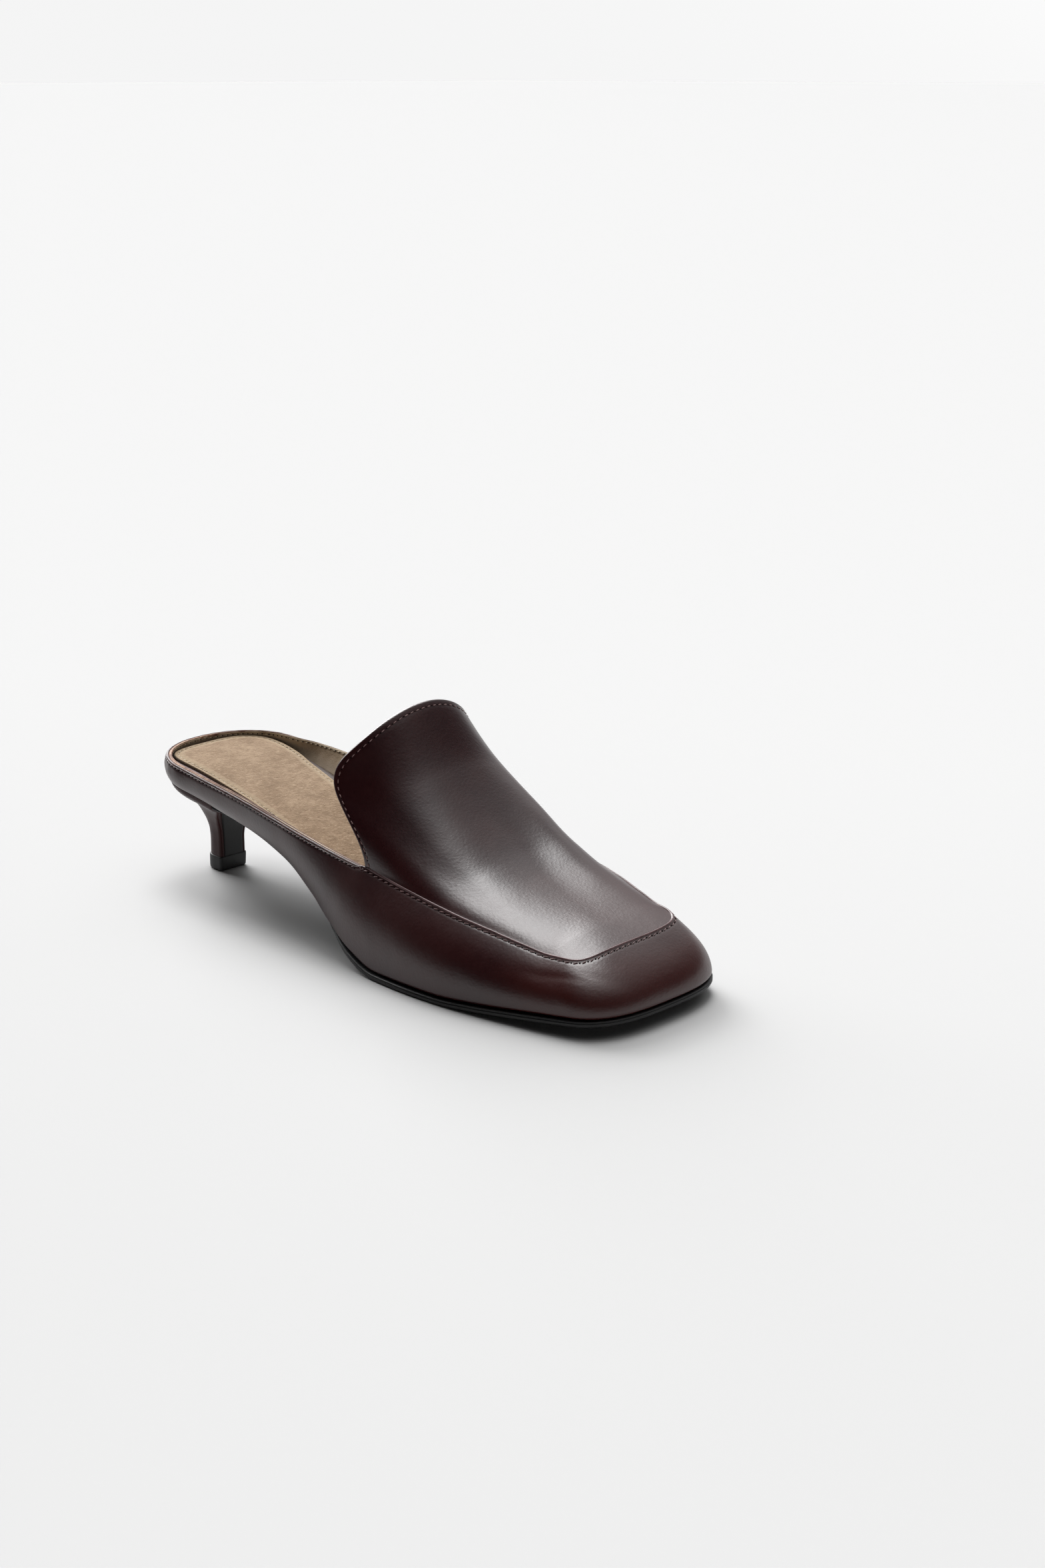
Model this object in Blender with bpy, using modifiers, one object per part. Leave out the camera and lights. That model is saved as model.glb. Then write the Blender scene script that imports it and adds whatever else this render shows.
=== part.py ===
"""Right shoe of a pair: a backless loafer with a square toe on a low, slim heel.

The shoe stands on z = 0 with its toe towards +X and the wearer's left, which is
the inner (medial) side of a right foot, towards +Y. Tables are in millimetres,
measured from the back of the heel, for the size named below.
"""
import math

import bmesh
import bpy

MM = 0.001

# Driving sizes, in millimetres.
LENGTH = 248.0          # back of the heel to the tip of the toe
BALL_WIDTH = 83.0       # widest part of the tread
SEAT_HEIGHT = 38.3      # upper's lower edge above the floor, at the heel seat
INSTEP_HEIGHT = 87.3    # top of the tongue above the floor

# The size that the tables are drawn for.
SAMPLE_LENGTH = 248.0
SAMPLE_BALL = 83.0
SAMPLE_SEAT = 38.3
SAMPLE_INSTEP = 87.3

# The middle of the whole shoe's box, where the origin stands.
CENTRE_X = 124.1
CENTRE_Y = -0.79

WALL = 2.2              # leather and lining together
GAP = 0.3               # between pieces that lie against each other
SOLE_THICK = 2.2
SOLE_PROUD = 0.8        # how far the sole's edge stands out past the upper
TOE_PROUD = 0.3         # and at the toe
PROUD_WAIST = (60, 120)     # it comes out from the waist between these
PROUD_TOE = (215, 245)      # and goes in again between these
SOLE_CHAMFER = 0.7
INSOLE_THICK = 7.2
INSOLE_EASE = 0.9       # extra room between the insole and the wall
INSOLE_TOE_EASE = 1.6   # and more of it towards the toe
INSOLE_TOE = (185, 230)
INSOLE_TIP = 239.0
SOCK_THICK = 1.7
SOCK_ROUND = 0.5
TIP_HEIGHT = 5.9

# Feather line, where the upper meets the sole.
FEATHER = [
    # x, lateral, medial, z
    (1, -26.0, 26.4, 40.3),
    (13, -26.4, 26.2, 39.5),
    (26, -26.5, 25.5, 38.3),
    (45, -26.3, 22.5, 35.2),
    (65, -25.8, 19.3, 31.0),
    (85, -27.0, 18.3, 25.4),
    (105, -31.8, 21.0, 18.2),
    (120, -36.5, 24.8, 11.6),
    (135, -40.5, 29.5, 5.9),
    (150, -42.6, 34.0, 2.5),
    (165, -43.2, 37.6, 2.5),
    (180, -42.6, 40.0, 2.5),
    (195, -40.6, 41.2, 3.3),
    (210, -37.7, 40.8, 4.5),
    (222, -35.0, 39.4, 5.5),
    (232, -32.3, 37.2, 6.2),
    (248.0, -27.0, 31.2, 7.0),
]
HEEL_CAP = 26           # the back of the heel is rounded off behind here
TOE_CAP = 232           # and the toe in front of here

# Apron seam, from the notch at the throat to the squared front.
SEAM = [
    # x, lateral, medial, lateral z, medial z
    (136, -33.3, 33.1, 36.2, 34.3),
    (150, -33.4, 35.8, 34.0, 33.9),
    (165, -32.9, 37.4, 31.5, 33.1),
    (180, -31.5, 37.2, 28.9, 31.7),
    (195, -28.9, 35.1, 26.3, 29.9),
    (208, -26.6, 32.2, 24.1, 27.9),
    (218, -24.7, 30.2, 22.7, 26.3),
    (231, -22.2, 27.4, 22.7, 26.3),
]
NOTCH = 136
APRON_CAP = 218
APRON_TIP_Z = [(0.0, 22.7), (0.15, 22.5), (0.5, 24.4), (0.85, 25.4), (1.0, 26.3)]

# Top edge of the quarters, from the notch back to the heel.
RIM = [
    # x, lateral, medial, lateral z, medial z
    (0.6, -27.6, 28.2, 51.0, 51.0),
    (25, -27.9, 28.4, 48.7, 50.2),
    (38, -28.9, 31.4, 47.4, 48.6),
    (52, -29.5, 33.5, 45.9, 46.7),
    (67, -30.3, 34.9, 44.1, 44.6),
    (83, -31.2, 35.5, 42.0, 42.2),
    (100, -32.1, 35.4, 39.9, 39.6),
    (118, -32.8, 34.6, 37.9, 37.0),
    (136, -33.3, 33.1, 36.2, 34.3),
]
RIM_CAP = 25

# Cross-sections of the apron and its tongue, at the seam's own stations.
# The crest is a point at (crest_y, crest_z) with a level tangent reaching
# "flat" to each side. Each side leaves the seam at an angle, with a pull.
# The section leans back by "lean" half-way up and comes forward by "nod".
APRON = [
    # x, crest z, crest y, flat, lat angle, med angle, lat pull, med pull, lean, nod
    (136, 87.3, 6.3, 27.0, 95.0, 115.6, 34.0, 25.6, 23.5, 14.5),
    (150, 65.6, 7.4, 20.0, 88.0, 100.0, 26.0, 27.0, 10.0, 3.2),
    (165, 50.2, 7.2, 17.0, 62.0, 80.0, 19.6, 24.5, 6.0, 1.8),
    (180, 39.4, 6.0, 14.5, 44.0, 59.0, 14.6, 20.0, 4.0, 1.0),
    (195, 33.2, 4.4, 13.5, 37.0, 43.0, 10.2, 14.0, 2.2, 0.0),
    (208, 29.7, 3.0, 13.2, 32.0, 34.0, 7.0, 8.0, 0.9, 0.0),
    (218, 27.6, 1.8, 13.0, 28.0, 28.0, 5.0, 5.0, 0.0, 0.0),
]

# How far the wall swells out past a straight line between its two edges,
# a third and two thirds of the way up, at shares of the way round.
SWELL = [
    # x, low lateral, high lateral, low medial, high medial
    (0, 1.0, 0.6, 1.0, 0.6),
    (45, 1.2, 0.8, 1.4, 0.9),
    (85, 1.8, 1.4, 2.6, 2.2),
    (120, 2.6, 2.8, 3.4, 3.6),
    (150, 3.6, 4.6, 4.0, 4.4),
    (180, 4.6, 5.6, 4.2, 4.2),
    (210, 4.6, 5.0, 4.2, 3.2),
    (232, 4.8, 4.2, 4.8, 3.5),
    (248, 5.6, 4.4, 5.6, 4.4),
]

# Edge of the padded sock on the footbed.
SOCK = [
    # x, lateral, medial
    (5.2, -18.0, 24.6),
    (24, -20.0, 24.6),
    (34, -21.4, 23.6),
    (45, -22.8, 21.2),
    (57, -23.4, 18.6),
    (66, -23.6, 16.4),
    (76, -23.8, 14.2),
    (88, -24.6, 12.8),
    (102, -27.2, 13.6),
    (118, -32.0, 17.8),
    (132, -35.8, 23.4),
    (148, -38.4, 28.8),
    (165, -39.2, 33.0),
    (180, -38.8, 35.6),
    (195, -36.2, 36.2),
    (210, -32.4, 35.2),
    (222, -28.8, 33.2),
    (237, -23.6, 29.6),
]
SOCK_BACK_CAP = 24
SOCK_TOE_CAP = 222

# Slices of the covered heel, from the top piece up to the seat.
HEEL = [
    # z at the seat's middle, back x, breast x, half width, share of the seat's slope
    (TIP_HEIGHT + GAP, 11.0, 21.0, 6.3, 0.0),
    (12.0, 11.2, 21.0, 6.3, 0.0),
    (16.0, 11.2, 21.3, 6.7, 0.0),
    (20.0, 10.9, 22.4, 8.1, 0.1),
    (24.0, 10.1, 24.8, 10.5, 0.3),
    (28.0, 8.4, 29.0, 13.6, 0.6),
    (31.2, 6.2, 33.2, 17.4, 0.9),
    (34.5, 3.9, 37.4, 22.6, 1.0),
    (36.9, 2.1, 40.0, 25.2, 1.0),
    (38.6, 1.3, 41.0, 26.0, 1.0),
]
HEEL_MIDDLE = 20.0      # x where a slice's height is measured
HEEL_Y = -0.6
BREAST_X = 41.0
BREAST_SIDE = 0.35      # share of a slice's length that is straight, before the breast
BREAST_CORNER = 1.0
SEAT_INSET = 0.5        # how far the heel's top lies inside the upper's edge

TIP_SLICES = [
    # z, back x, breast x, half width
    (0.0, 10.5, 20.8, 6.2),
    (0.5, 10.2, 21.0, 6.5),
    (TIP_HEIGHT, 10.4, 21.3, 6.6),
]

# How squarely an end cap is cut: 2 is an ellipse, and more is squarer.
TOE_POWER = 3.0
APRON_POWER = 4.5
SEAT_POWER = 2.3
RIM_POWER = 2.2
SOCK_POWER = 2.4

# Mesh counts.
SIDE_STEPS = 11         # along the apron seam on each side
FRONT_STEPS = 20        # across the toe, and across the apron
APRON_END_STEPS = 3
REAR_STEPS = 9          # along each quarter
HEEL_STEPS = 12         # round the back of the heel
WALL_STEPS = 6          # up the wall
PLATE_STEPS = 22        # along the straight part of a sole, insole or sock
CAP_STEPS = 7           # along each of its rounded ends
BACK_STEPS = 16         # round the back of the heel block
CAP_END = 0.998         # how near a rounded end's last slice comes to its tip
SHARP = math.radians(35)


def size_x(x):
    return x * LENGTH / SAMPLE_LENGTH


def size_y(y):
    return y * BALL_WIDTH / SAMPLE_BALL


def size_z(z):
    """Heights up to the heel seat follow the heel, and above it the instep."""
    if z <= SAMPLE_SEAT:
        return z * SEAT_HEIGHT / SAMPLE_SEAT
    above = (z - SAMPLE_SEAT) / (SAMPLE_INSTEP - SAMPLE_SEAT)
    return SEAT_HEIGHT + above * (INSTEP_HEIGHT - SEAT_HEIGHT)


def place(x, y, z):
    """A point of the tables as a point of the model, in metres."""
    return (
        (size_x(x - CENTRE_X)) * MM,
        (size_y(y - CENTRE_Y)) * MM,
        size_z(z) * MM,
    )


def column(rows, index):
    """A smooth curve through one column of a table, read by its first column."""
    xs = [row[0] for row in rows]
    ys = [row[index] for row in rows]
    steps = [(ys[i + 1] - ys[i]) / (xs[i + 1] - xs[i]) for i in range(len(xs) - 1)]
    slopes = [steps[0]]
    for before, after in zip(steps, steps[1:]):
        same_way = before * after > 0
        slopes.append(2 * before * after / (before + after) if same_way else 0.0)
    slopes.append(steps[-1])

    def read(x):
        x = min(max(x, xs[0]), xs[-1])
        i = 0
        while i < len(xs) - 2 and x > xs[i + 1]:
            i += 1
        width = xs[i + 1] - xs[i]
        t = (x - xs[i]) / width
        a = (1 + 2 * t) * (1 - t) ** 2
        b = t * (1 - t) ** 2 * width
        c = t * t * (3 - 2 * t)
        d = t * t * (t - 1) * width
        return a * ys[i] + b * slopes[i] + c * ys[i + 1] + d * slopes[i + 1]

    return read


def ease(t):
    t = min(max(t, 0.0), 1.0)
    return t * t * (3 - 2 * t)


def mix(a, b, t):
    return a + (b - a) * t


def bezier(p0, p1, p2, p3, t):
    s = 1 - t
    return [
        s ** 3 * a + 3 * s * s * t * b + 3 * s * t * t * c + t ** 3 * d
        for a, b, c, d in zip(p0, p1, p2, p3)
    ]


def cap(start, tip, lateral, medial, power, t):
    """A point of an end cap, with t from 0 on the lateral side to 1 on the medial.

    The two edges run on as functions of x, and the cap closes in from them.
    """
    turn = math.pi * (t - 0.5)
    across = math.copysign(abs(math.sin(turn)) ** (2 / power), turn)
    x = mix(start, tip, abs(math.cos(turn)) ** (2 / power))
    return x, mix(lateral(x), medial(x), (1 + across) / 2)


feather_lateral = column(FEATHER, 1)
feather_medial = column(FEATHER, 2)
feather_z = column(FEATHER, 3)
seam = [column(SEAM, i) for i in range(5)]
rim = [column(RIM, i) for i in range(5)]
apron = [column(APRON, i) for i in range(10)]
swell = [column(SWELL, i) for i in range(5)]
apron_tip_z = column(APRON_TIP_Z, 1)


def wall_point(station, t):
    """A point on the wall, t of the way from its lower edge to its upper one."""
    low, high, out, swells = station
    p1 = [mix(a, b, 1 / 3) + o * swells[0] for a, b, o in zip(low, high, out)]
    p2 = [mix(a, b, 2 / 3) + o * swells[1] for a, b, o in zip(low, high, out)]
    return bezier(low, p1, p2, high, t)


def side_station(s, side, part):
    """Lower and upper edge of one side wall, a share s of the way from the notch.

    A station is a lower point, an upper point, the level direction out of the
    shoe, and two swells. The side is -1 for lateral and 1 for medial. The part
    is "front", along the apron seam, or "rear", along the quarter.
    """
    if part == "front":
        low_x = mix(NOTCH, TOE_CAP, s)
        top_x = mix(NOTCH, APRON_CAP, s)
        edge = seam
        rise = 0.25
    else:
        low_x = mix(NOTCH, HEEL_CAP, s)
        top_x = mix(NOTCH, RIM_CAP, s)
        edge = rim
        rise = 0.0
    if side < 0:
        low = (low_x, feather_lateral(low_x), feather_z(low_x))
        swells = (swell[1](low_x), swell[2](low_x))
        return low, (top_x, edge[1](top_x), edge[3](top_x)), (0.0, -1.0, rise), swells
    low = (low_x, feather_medial(low_x), feather_z(low_x))
    swells = (swell[3](low_x), swell[4](low_x))
    return low, (top_x, edge[2](top_x), edge[4](top_x)), (0.0, 1.0, rise), swells


def wall_stations():
    """All stations round the shoe, starting at the lateral notch."""
    toe = []
    for i in range(FRONT_STEPS + 1):
        t = i / FRONT_STEPS
        low_x, low_y = cap(TOE_CAP, FEATHER[-1][0], feather_lateral, feather_medial, TOE_POWER, t)
        top_x, top_y = cap(APRON_CAP, SEAM[-1][0], seam[1], seam[2], APRON_POWER, t)
        turn = math.pi * (t - 0.5)
        out = (math.cos(turn), math.sin(turn), 0.25)
        low = mix(swell[1](low_x), swell[3](low_x), t)
        high = mix(swell[2](low_x), swell[4](low_x), t)
        toe.append((
            (low_x, low_y, feather_z(low_x)), (top_x, top_y, apron_tip_z(t)), out, (low, high),
        ))
    heel = []
    for i in range(HEEL_STEPS + 1):
        t = 1 - i / HEEL_STEPS
        low_x, low_y = cap(HEEL_CAP, FEATHER[0][0], feather_lateral, feather_medial, SEAT_POWER, t)
        top_x, top_y = cap(RIM_CAP, RIM[0][0], rim[1], rim[2], RIM_POWER, t)
        turn = math.pi * (t - 0.5)
        out = (-math.cos(turn), math.sin(turn), 0.0)
        heel.append((
            (low_x, low_y, feather_z(low_x)),
            (top_x, top_y, mix(rim[3](top_x), rim[4](top_x), t)),
            out,
            (swell[1](low_x), swell[2](low_x)),
        ))
    front = [i / SIDE_STEPS for i in range(SIDE_STEPS)]
    rear = [i / REAR_STEPS for i in range(1, REAR_STEPS)]
    return (
        [side_station(s, -1, "front") for s in front] + toe
        + [side_station(s, 1, "front") for s in front[::-1]]
        + [side_station(s, 1, "rear") for s in rear] + heel
        + [side_station(s, -1, "rear") for s in rear[::-1]]
    )


def wall_flare(x, side):
    """How far out the wall leans, per millimetre of height, beside the insole."""
    if x >= NOTCH:
        station = side_station(min((x - NOTCH) / (TOE_CAP - NOTCH), 1.0), side, "front")
    else:
        station = side_station(min((NOTCH - x) / (NOTCH - HEEL_CAP), 1.0), side, "rear")
    t = 0.0
    while wall_point(station, t)[2] - station[0][2] < INSOLE_THICK:
        t += 0.01
    out, up = (wall_point(station, t)[k] - station[0][k] for k in (1, 2))
    return side * out / up


def apron_row(x, count):
    """One section of the apron or tongue, from the lateral seam to the medial."""
    low_l = (seam[1](x), seam[3](x))
    low_m = (seam[2](x), seam[4](x))
    crest_z, crest_y, flat, turn_l, turn_m, pull_l, pull_m, lean, nod = (
        apron[i](x) for i in range(1, 10)
    )
    crest = (crest_y, crest_z)
    turn_l = math.radians(turn_l)
    turn_m = math.radians(turn_m)
    start = (low_l[0] + pull_l * math.cos(turn_l), low_l[1] + pull_l * math.sin(turn_l))
    end = (low_m[0] - pull_m * math.cos(turn_m), low_m[1] + pull_m * math.sin(turn_m))
    row = []
    for i in range(count + 1):
        t = 2 * i / count
        if t <= 1:
            y, z = bezier(low_l, start, (crest_y - flat, crest_z), crest, t)
            low_z = low_l[1]
        else:
            y, z = bezier(crest, (crest_y + flat, crest_z), end, low_m, t - 1)
            low_z = low_m[1]
        height = (z - low_z) / (crest_z - low_z)
        back = lean * ease(height / 0.7) - nod * ease((height - 0.45) / 0.55)
        row.append((x - back, y, z))
    return row


def apron_rows():
    """All sections, from the tongue's edge to the squared front of the apron."""
    rows = [
        apron_row(mix(NOTCH, APRON_CAP, i / SIDE_STEPS), FRONT_STEPS)
        for i in range(SIDE_STEPS + 1)
    ]
    last = rows[-1]
    tip = []
    for j in range(FRONT_STEPS + 1):
        t = j / FRONT_STEPS
        x, y = cap(APRON_CAP, SEAM[-1][0], seam[1], seam[2], APRON_POWER, t)
        tip.append((x, y, apron_tip_z(t)))
    for i in range(1, APRON_END_STEPS + 1):
        s = i / APRON_END_STEPS
        row = []
        for j in range(FRONT_STEPS + 1):
            level = mix(last[0][2], last[-1][2], j / FRONT_STEPS)
            crown = (last[j][2] - level) * (1 - s * s)
            x = mix(last[j][0], tip[j][0], s)
            y = mix(last[j][1], tip[j][1], s)
            row.append((x, y, mix(level, tip[j][2], s) + crown))
        rows.append(row)
    return rows


def material(name, colour, roughness, metallic=0.0):
    made = bpy.data.materials.new(name)
    made.use_nodes = True
    shader = made.node_tree.nodes["Principled BSDF"]
    shader.inputs["Base Color"].default_value = (*colour, 1.0)
    shader.inputs["Roughness"].default_value = roughness
    shader.inputs["Metallic"].default_value = metallic
    return made


def finish(name, mesh, collection, made):
    """Turns a bmesh into a named object with its material."""
    data = bpy.data.meshes.new(name)
    mesh.to_mesh(data)
    mesh.free()
    data.materials.append(made)
    data.shade_smooth()
    data.set_sharp_from_angle(angle=SHARP)
    item = bpy.data.objects.new(name, data)
    collection.objects.link(item)
    return item


def loft(rings):
    """A closed solid through rings of points, with a face on each end."""
    mesh = bmesh.new()
    made = [[mesh.verts.new(place(*point)) for point in ring] for ring in rings]
    for before, after in zip(made, made[1:]):
        for i in range(len(before)):
            j = (i + 1) % len(before)
            mesh.faces.new((before[i], before[j], after[j], after[i]))
    mesh.faces.new(made[0][::-1])
    mesh.faces.new(made[-1])
    bmesh.ops.recalc_face_normals(mesh, faces=mesh.faces)
    return mesh


def build_upper(collection):
    """Hollow leather shell: toe and side walls, quarters, apron and tongue."""
    mesh = bmesh.new()
    columns = [
        [mesh.verts.new(place(*wall_point(station, i / WALL_STEPS))) for i in range(WALL_STEPS + 1)]
        for station in wall_stations()
    ]
    for i in range(len(columns)):
        here = columns[i]
        after = columns[(i + 1) % len(columns)]
        for k in range(WALL_STEPS):
            mesh.faces.new((here[k], after[k], after[k + 1], here[k + 1]))
    rows = [[mesh.verts.new(place(*point)) for point in row] for row in apron_rows()]
    for before, after in zip(rows, rows[1:]):
        for j in range(FRONT_STEPS):
            mesh.faces.new((before[j], after[j], after[j + 1], before[j + 1]))
    bmesh.ops.remove_doubles(mesh, verts=mesh.verts, dist=0.02 * MM)
    item = finish("upper", mesh, collection, material("upper_leather", (0.045, 0.012, 0.012), 0.35))
    shell = item.modifiers.new("wall", "SOLIDIFY")
    shell.thickness = WALL * MM
    shell.offset = -1.0
    shell.use_even_offset = True
    shell.use_quality_normals = True
    return item


def end_steps():
    """Shares of an end cap's reach, closer together towards its end."""
    return [math.sin(math.pi / 2 * i / CAP_STEPS) for i in range(1, CAP_STEPS)] + [CAP_END]


def shrink(share, power):
    """Share of the full width left at a share of an end cap's reach."""
    return (1 - share ** power) ** (1 / power)


def plate_stations(lateral, medial, back, first, last, tip, power):
    """Level outline of a plate as (x, lateral y, medial y), rounded off at its ends.

    The edges are functions of x, and the power is that of the back's rounding.
    A back equal to first is cut straight across.
    """
    stations = []
    if back < first:
        for share in end_steps()[::-1]:
            x = mix(first, back, share)
            middle = (lateral(x) + medial(x)) / 2
            half = (medial(x) - lateral(x)) / 2 * shrink(share, power)
            stations.append((x, middle - half, middle + half))
    for i in range(PLATE_STEPS + 1):
        x = mix(first, last, i / PLATE_STEPS)
        stations.append((x, lateral(x), medial(x)))
    for share in end_steps():
        x = mix(last, tip, share)
        middle = (lateral(x) + medial(x)) / 2
        half = (medial(x) - lateral(x)) / 2 * shrink(share, TOE_POWER)
        stations.append((x, middle - half, middle + half))
    return stations


def build_outsole(collection):
    """Thin sole from the heel's breast to the toe, flat under the ball."""
    def proud(x):
        at_toe = ease((x - PROUD_TOE[0]) / (PROUD_TOE[1] - PROUD_TOE[0]))
        at_waist = ease((x - PROUD_WAIST[0]) / (PROUD_WAIST[1] - PROUD_WAIST[0]))
        return at_waist * mix(SOLE_PROUD, TOE_PROUD, at_toe)

    stations = plate_stations(
        lambda x: feather_lateral(x) - proud(x), lambda x: feather_medial(x) + proud(x),
        BREAST_X + GAP, BREAST_X + GAP, TOE_CAP, FEATHER[-1][0], SEAT_POWER,
    )
    rings = []
    for x, lateral, medial in stations:
        top = feather_z(x) - GAP
        low = top - SOLE_THICK
        chamfer = min(SOLE_CHAMFER, (medial - lateral) / 4)
        rings.append([
            (x, lateral, top),
            (x, medial, top),
            (x, medial, low + SOLE_CHAMFER),
            (x, medial - chamfer, low),
            (x, lateral + chamfer, low),
            (x, lateral, low + SOLE_CHAMFER),
        ])
    return finish("outsole", loft(rings), collection, material("sole", (0.012, 0.012, 0.012), 0.5))


def build_insole(collection):
    """Covered footbed board inside the upper, its edge slanted like the walls."""
    margin = WALL + GAP + INSOLE_EASE

    def base(x, side):
        edge = feather_lateral(x) if side < 0 else feather_medial(x)
        at_toe = ease((x - INSOLE_TOE[0]) / (INSOLE_TOE[1] - INSOLE_TOE[0]))
        room = margin + INSOLE_TOE_EASE * at_toe
        return edge - side * room * math.hypot(1.0, wall_flare(x, side))

    stations = plate_stations(
        lambda x: base(x, -1), lambda x: base(x, 1),
        FEATHER[0][0] + margin, HEEL_CAP, TOE_CAP, INSOLE_TIP, SEAT_POWER,
    )
    rings = []
    for x, lateral, medial in stations:
        low = feather_z(x)
        share = min(1.0, (medial - lateral) / (base(x, 1) - base(x, -1)))
        out_l = wall_flare(x, -1) * INSOLE_THICK * share
        out_m = wall_flare(x, 1) * INSOLE_THICK * share
        rings.append([
            (x, lateral - out_l, low + INSOLE_THICK),
            (x, medial + out_m, low + INSOLE_THICK),
            (x, medial, low),
            (x, lateral, low),
        ])
    return finish("insole", loft(rings), collection, material("insole_cover", (0.06, 0.02, 0.02), 0.5))


def build_sock(collection):
    """Padded sock on the footbed, cut in at the waist on the medial side."""
    stations = plate_stations(
        column(SOCK, 1), column(SOCK, 2), SOCK[0][0], SOCK_BACK_CAP, SOCK_TOE_CAP, SOCK[-1][0],
        SOCK_POWER,
    )
    rings = []
    for x, lateral, medial in stations:
        low = feather_z(x) + INSOLE_THICK + GAP
        top = low + SOCK_THICK
        soft = min(SOCK_ROUND, (medial - lateral) / 4)
        rings.append([
            (x, lateral, low),
            (x, lateral, top - SOCK_ROUND),
            (x, lateral + soft, top),
            (x, medial - soft, top),
            (x, medial, top - SOCK_ROUND),
            (x, medial, low),
        ])
    return finish("sock", loft(rings), collection, material("sock_suede", (0.42, 0.32, 0.23), 0.9))


def heel_ring(back, breast, half):
    """Level outline of a heel slice: a round back and a straight breast."""
    side = BREAST_SIDE * (breast - back)
    corner = min(BREAST_CORNER, side / 2)
    ring = [(breast, half - corner), (breast - corner * 0.4, half - corner * 0.3)]
    for i in range(BACK_STEPS + 1):
        t = 1 - i / BACK_STEPS
        ring.append(cap(breast - side, back, lambda x: -half, lambda x: half, SEAT_POWER, t))
    ring += [(breast - corner * 0.4, corner * 0.3 - half), (breast, corner - half)]
    return [(x, y + HEEL_Y) for x, y in ring]


def build_heel(collection):
    """Slim covered heel that flares out to the seat, with a flat breast."""
    rings = []
    for z, back, breast, half, slope in HEEL:
        ring = []
        for x, y in heel_ring(back, breast, half):
            y = max(y, feather_lateral(x) + SEAT_INSET)
            y = min(y, feather_medial(x) - SEAT_INSET)
            height = z + slope * (feather_z(x) - feather_z(HEEL_MIDDLE))
            ring.append((x, y, min(height, feather_z(x) - GAP)))
        rings.append(ring)
    return finish("heel", loft(rings), collection, material("heel_cover", (0.045, 0.012, 0.012), 0.3))


def build_heel_tip(collection):
    """Rubber top piece that the heel stands on."""
    rings = [
        [(x, y, z) for x, y in heel_ring(back, breast, half)]
        for z, back, breast, half in TIP_SLICES
    ]
    return finish("heel_tip", loft(rings), collection, material("tip_rubber", (0.01, 0.01, 0.01), 0.6))


for old in list(bpy.data.objects):
    bpy.data.objects.remove(old, do_unlink=True)
shoe = bpy.data.collections.new("heeled_loafer")
bpy.context.scene.collection.children.link(shoe)
build_upper(shoe)
build_insole(shoe)
build_sock(shoe)
build_outsole(shoe)
build_heel(shoe)
build_heel_tip(shoe)
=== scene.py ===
"""Looks for the right shoe of a pair, a backless heeled loafer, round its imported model.

The tables are in millimetres: x from the back of the heel to the toe, y from the
middle of the heel with the inner (medial) side positive, z up from the floor.
"""

import math

import bmesh
import bpy
from mathutils import Matrix, Vector, noise


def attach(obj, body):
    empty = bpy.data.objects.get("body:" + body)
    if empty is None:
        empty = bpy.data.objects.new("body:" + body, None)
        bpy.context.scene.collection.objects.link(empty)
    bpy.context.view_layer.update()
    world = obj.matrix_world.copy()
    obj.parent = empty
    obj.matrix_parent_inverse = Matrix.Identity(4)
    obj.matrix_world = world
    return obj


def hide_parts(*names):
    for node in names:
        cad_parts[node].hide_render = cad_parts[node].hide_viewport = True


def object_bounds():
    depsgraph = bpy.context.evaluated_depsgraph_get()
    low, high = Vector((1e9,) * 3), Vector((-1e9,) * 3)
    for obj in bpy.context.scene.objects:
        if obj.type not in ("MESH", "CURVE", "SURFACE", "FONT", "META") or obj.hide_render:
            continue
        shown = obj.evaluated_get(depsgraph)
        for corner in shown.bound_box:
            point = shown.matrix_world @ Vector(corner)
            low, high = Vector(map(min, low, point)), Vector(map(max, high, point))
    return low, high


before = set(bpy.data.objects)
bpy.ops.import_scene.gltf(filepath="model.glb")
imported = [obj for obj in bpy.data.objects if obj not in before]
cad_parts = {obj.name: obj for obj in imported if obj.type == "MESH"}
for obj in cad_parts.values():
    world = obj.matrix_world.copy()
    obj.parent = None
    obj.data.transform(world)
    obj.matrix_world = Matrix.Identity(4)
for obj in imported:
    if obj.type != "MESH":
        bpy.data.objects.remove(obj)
cad_low, cad_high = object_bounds()

# ---- Wall leather --------------------------------------------------------------
# The wall is a strip of burgundy calf about a millimetre thick. It is pulled over
# the last, cemented under the footbed, and runs from the toe along both sides and
# round the heel, where its cut top edge lies a little below the rim.

MM = 0.001
CENTRE = (124.1, -0.79)     # middle of the whole shoe's box, in the tables
WALL = 2.2                  # leather and lining together
CALF = 0.85
RIM_DROP = 1.35             # from the rim down to the leather's cut edge
FOOT_ROUND = 1.8            # rounding of the leather's lower edge

# Feather line, where the upper meets the sole.
FEATHER = [
    # x, lateral, medial, z
    (1, -26.0, 26.4, 40.3),
    (13, -26.4, 26.2, 39.5),
    (26, -26.5, 25.5, 38.3),
    (45, -26.3, 22.5, 35.2),
    (65, -25.8, 19.3, 31.0),
    (85, -27.0, 18.3, 25.4),
    (105, -31.8, 21.0, 18.2),
    (120, -36.5, 24.8, 11.6),
    (135, -40.5, 29.5, 5.9),
    (150, -42.6, 34.0, 2.5),
    (165, -43.2, 37.6, 2.5),
    (180, -42.6, 40.0, 2.5),
    (195, -40.6, 41.2, 3.3),
    (210, -37.7, 40.8, 4.5),
    (222, -35.0, 39.4, 5.5),
    (232, -32.3, 37.2, 6.2),
    (248, -27.0, 31.2, 7.0),
]
HEEL_CAP = 26               # where the line begins to turn round the heel, and the toe
TOE_CAP = 232

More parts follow.
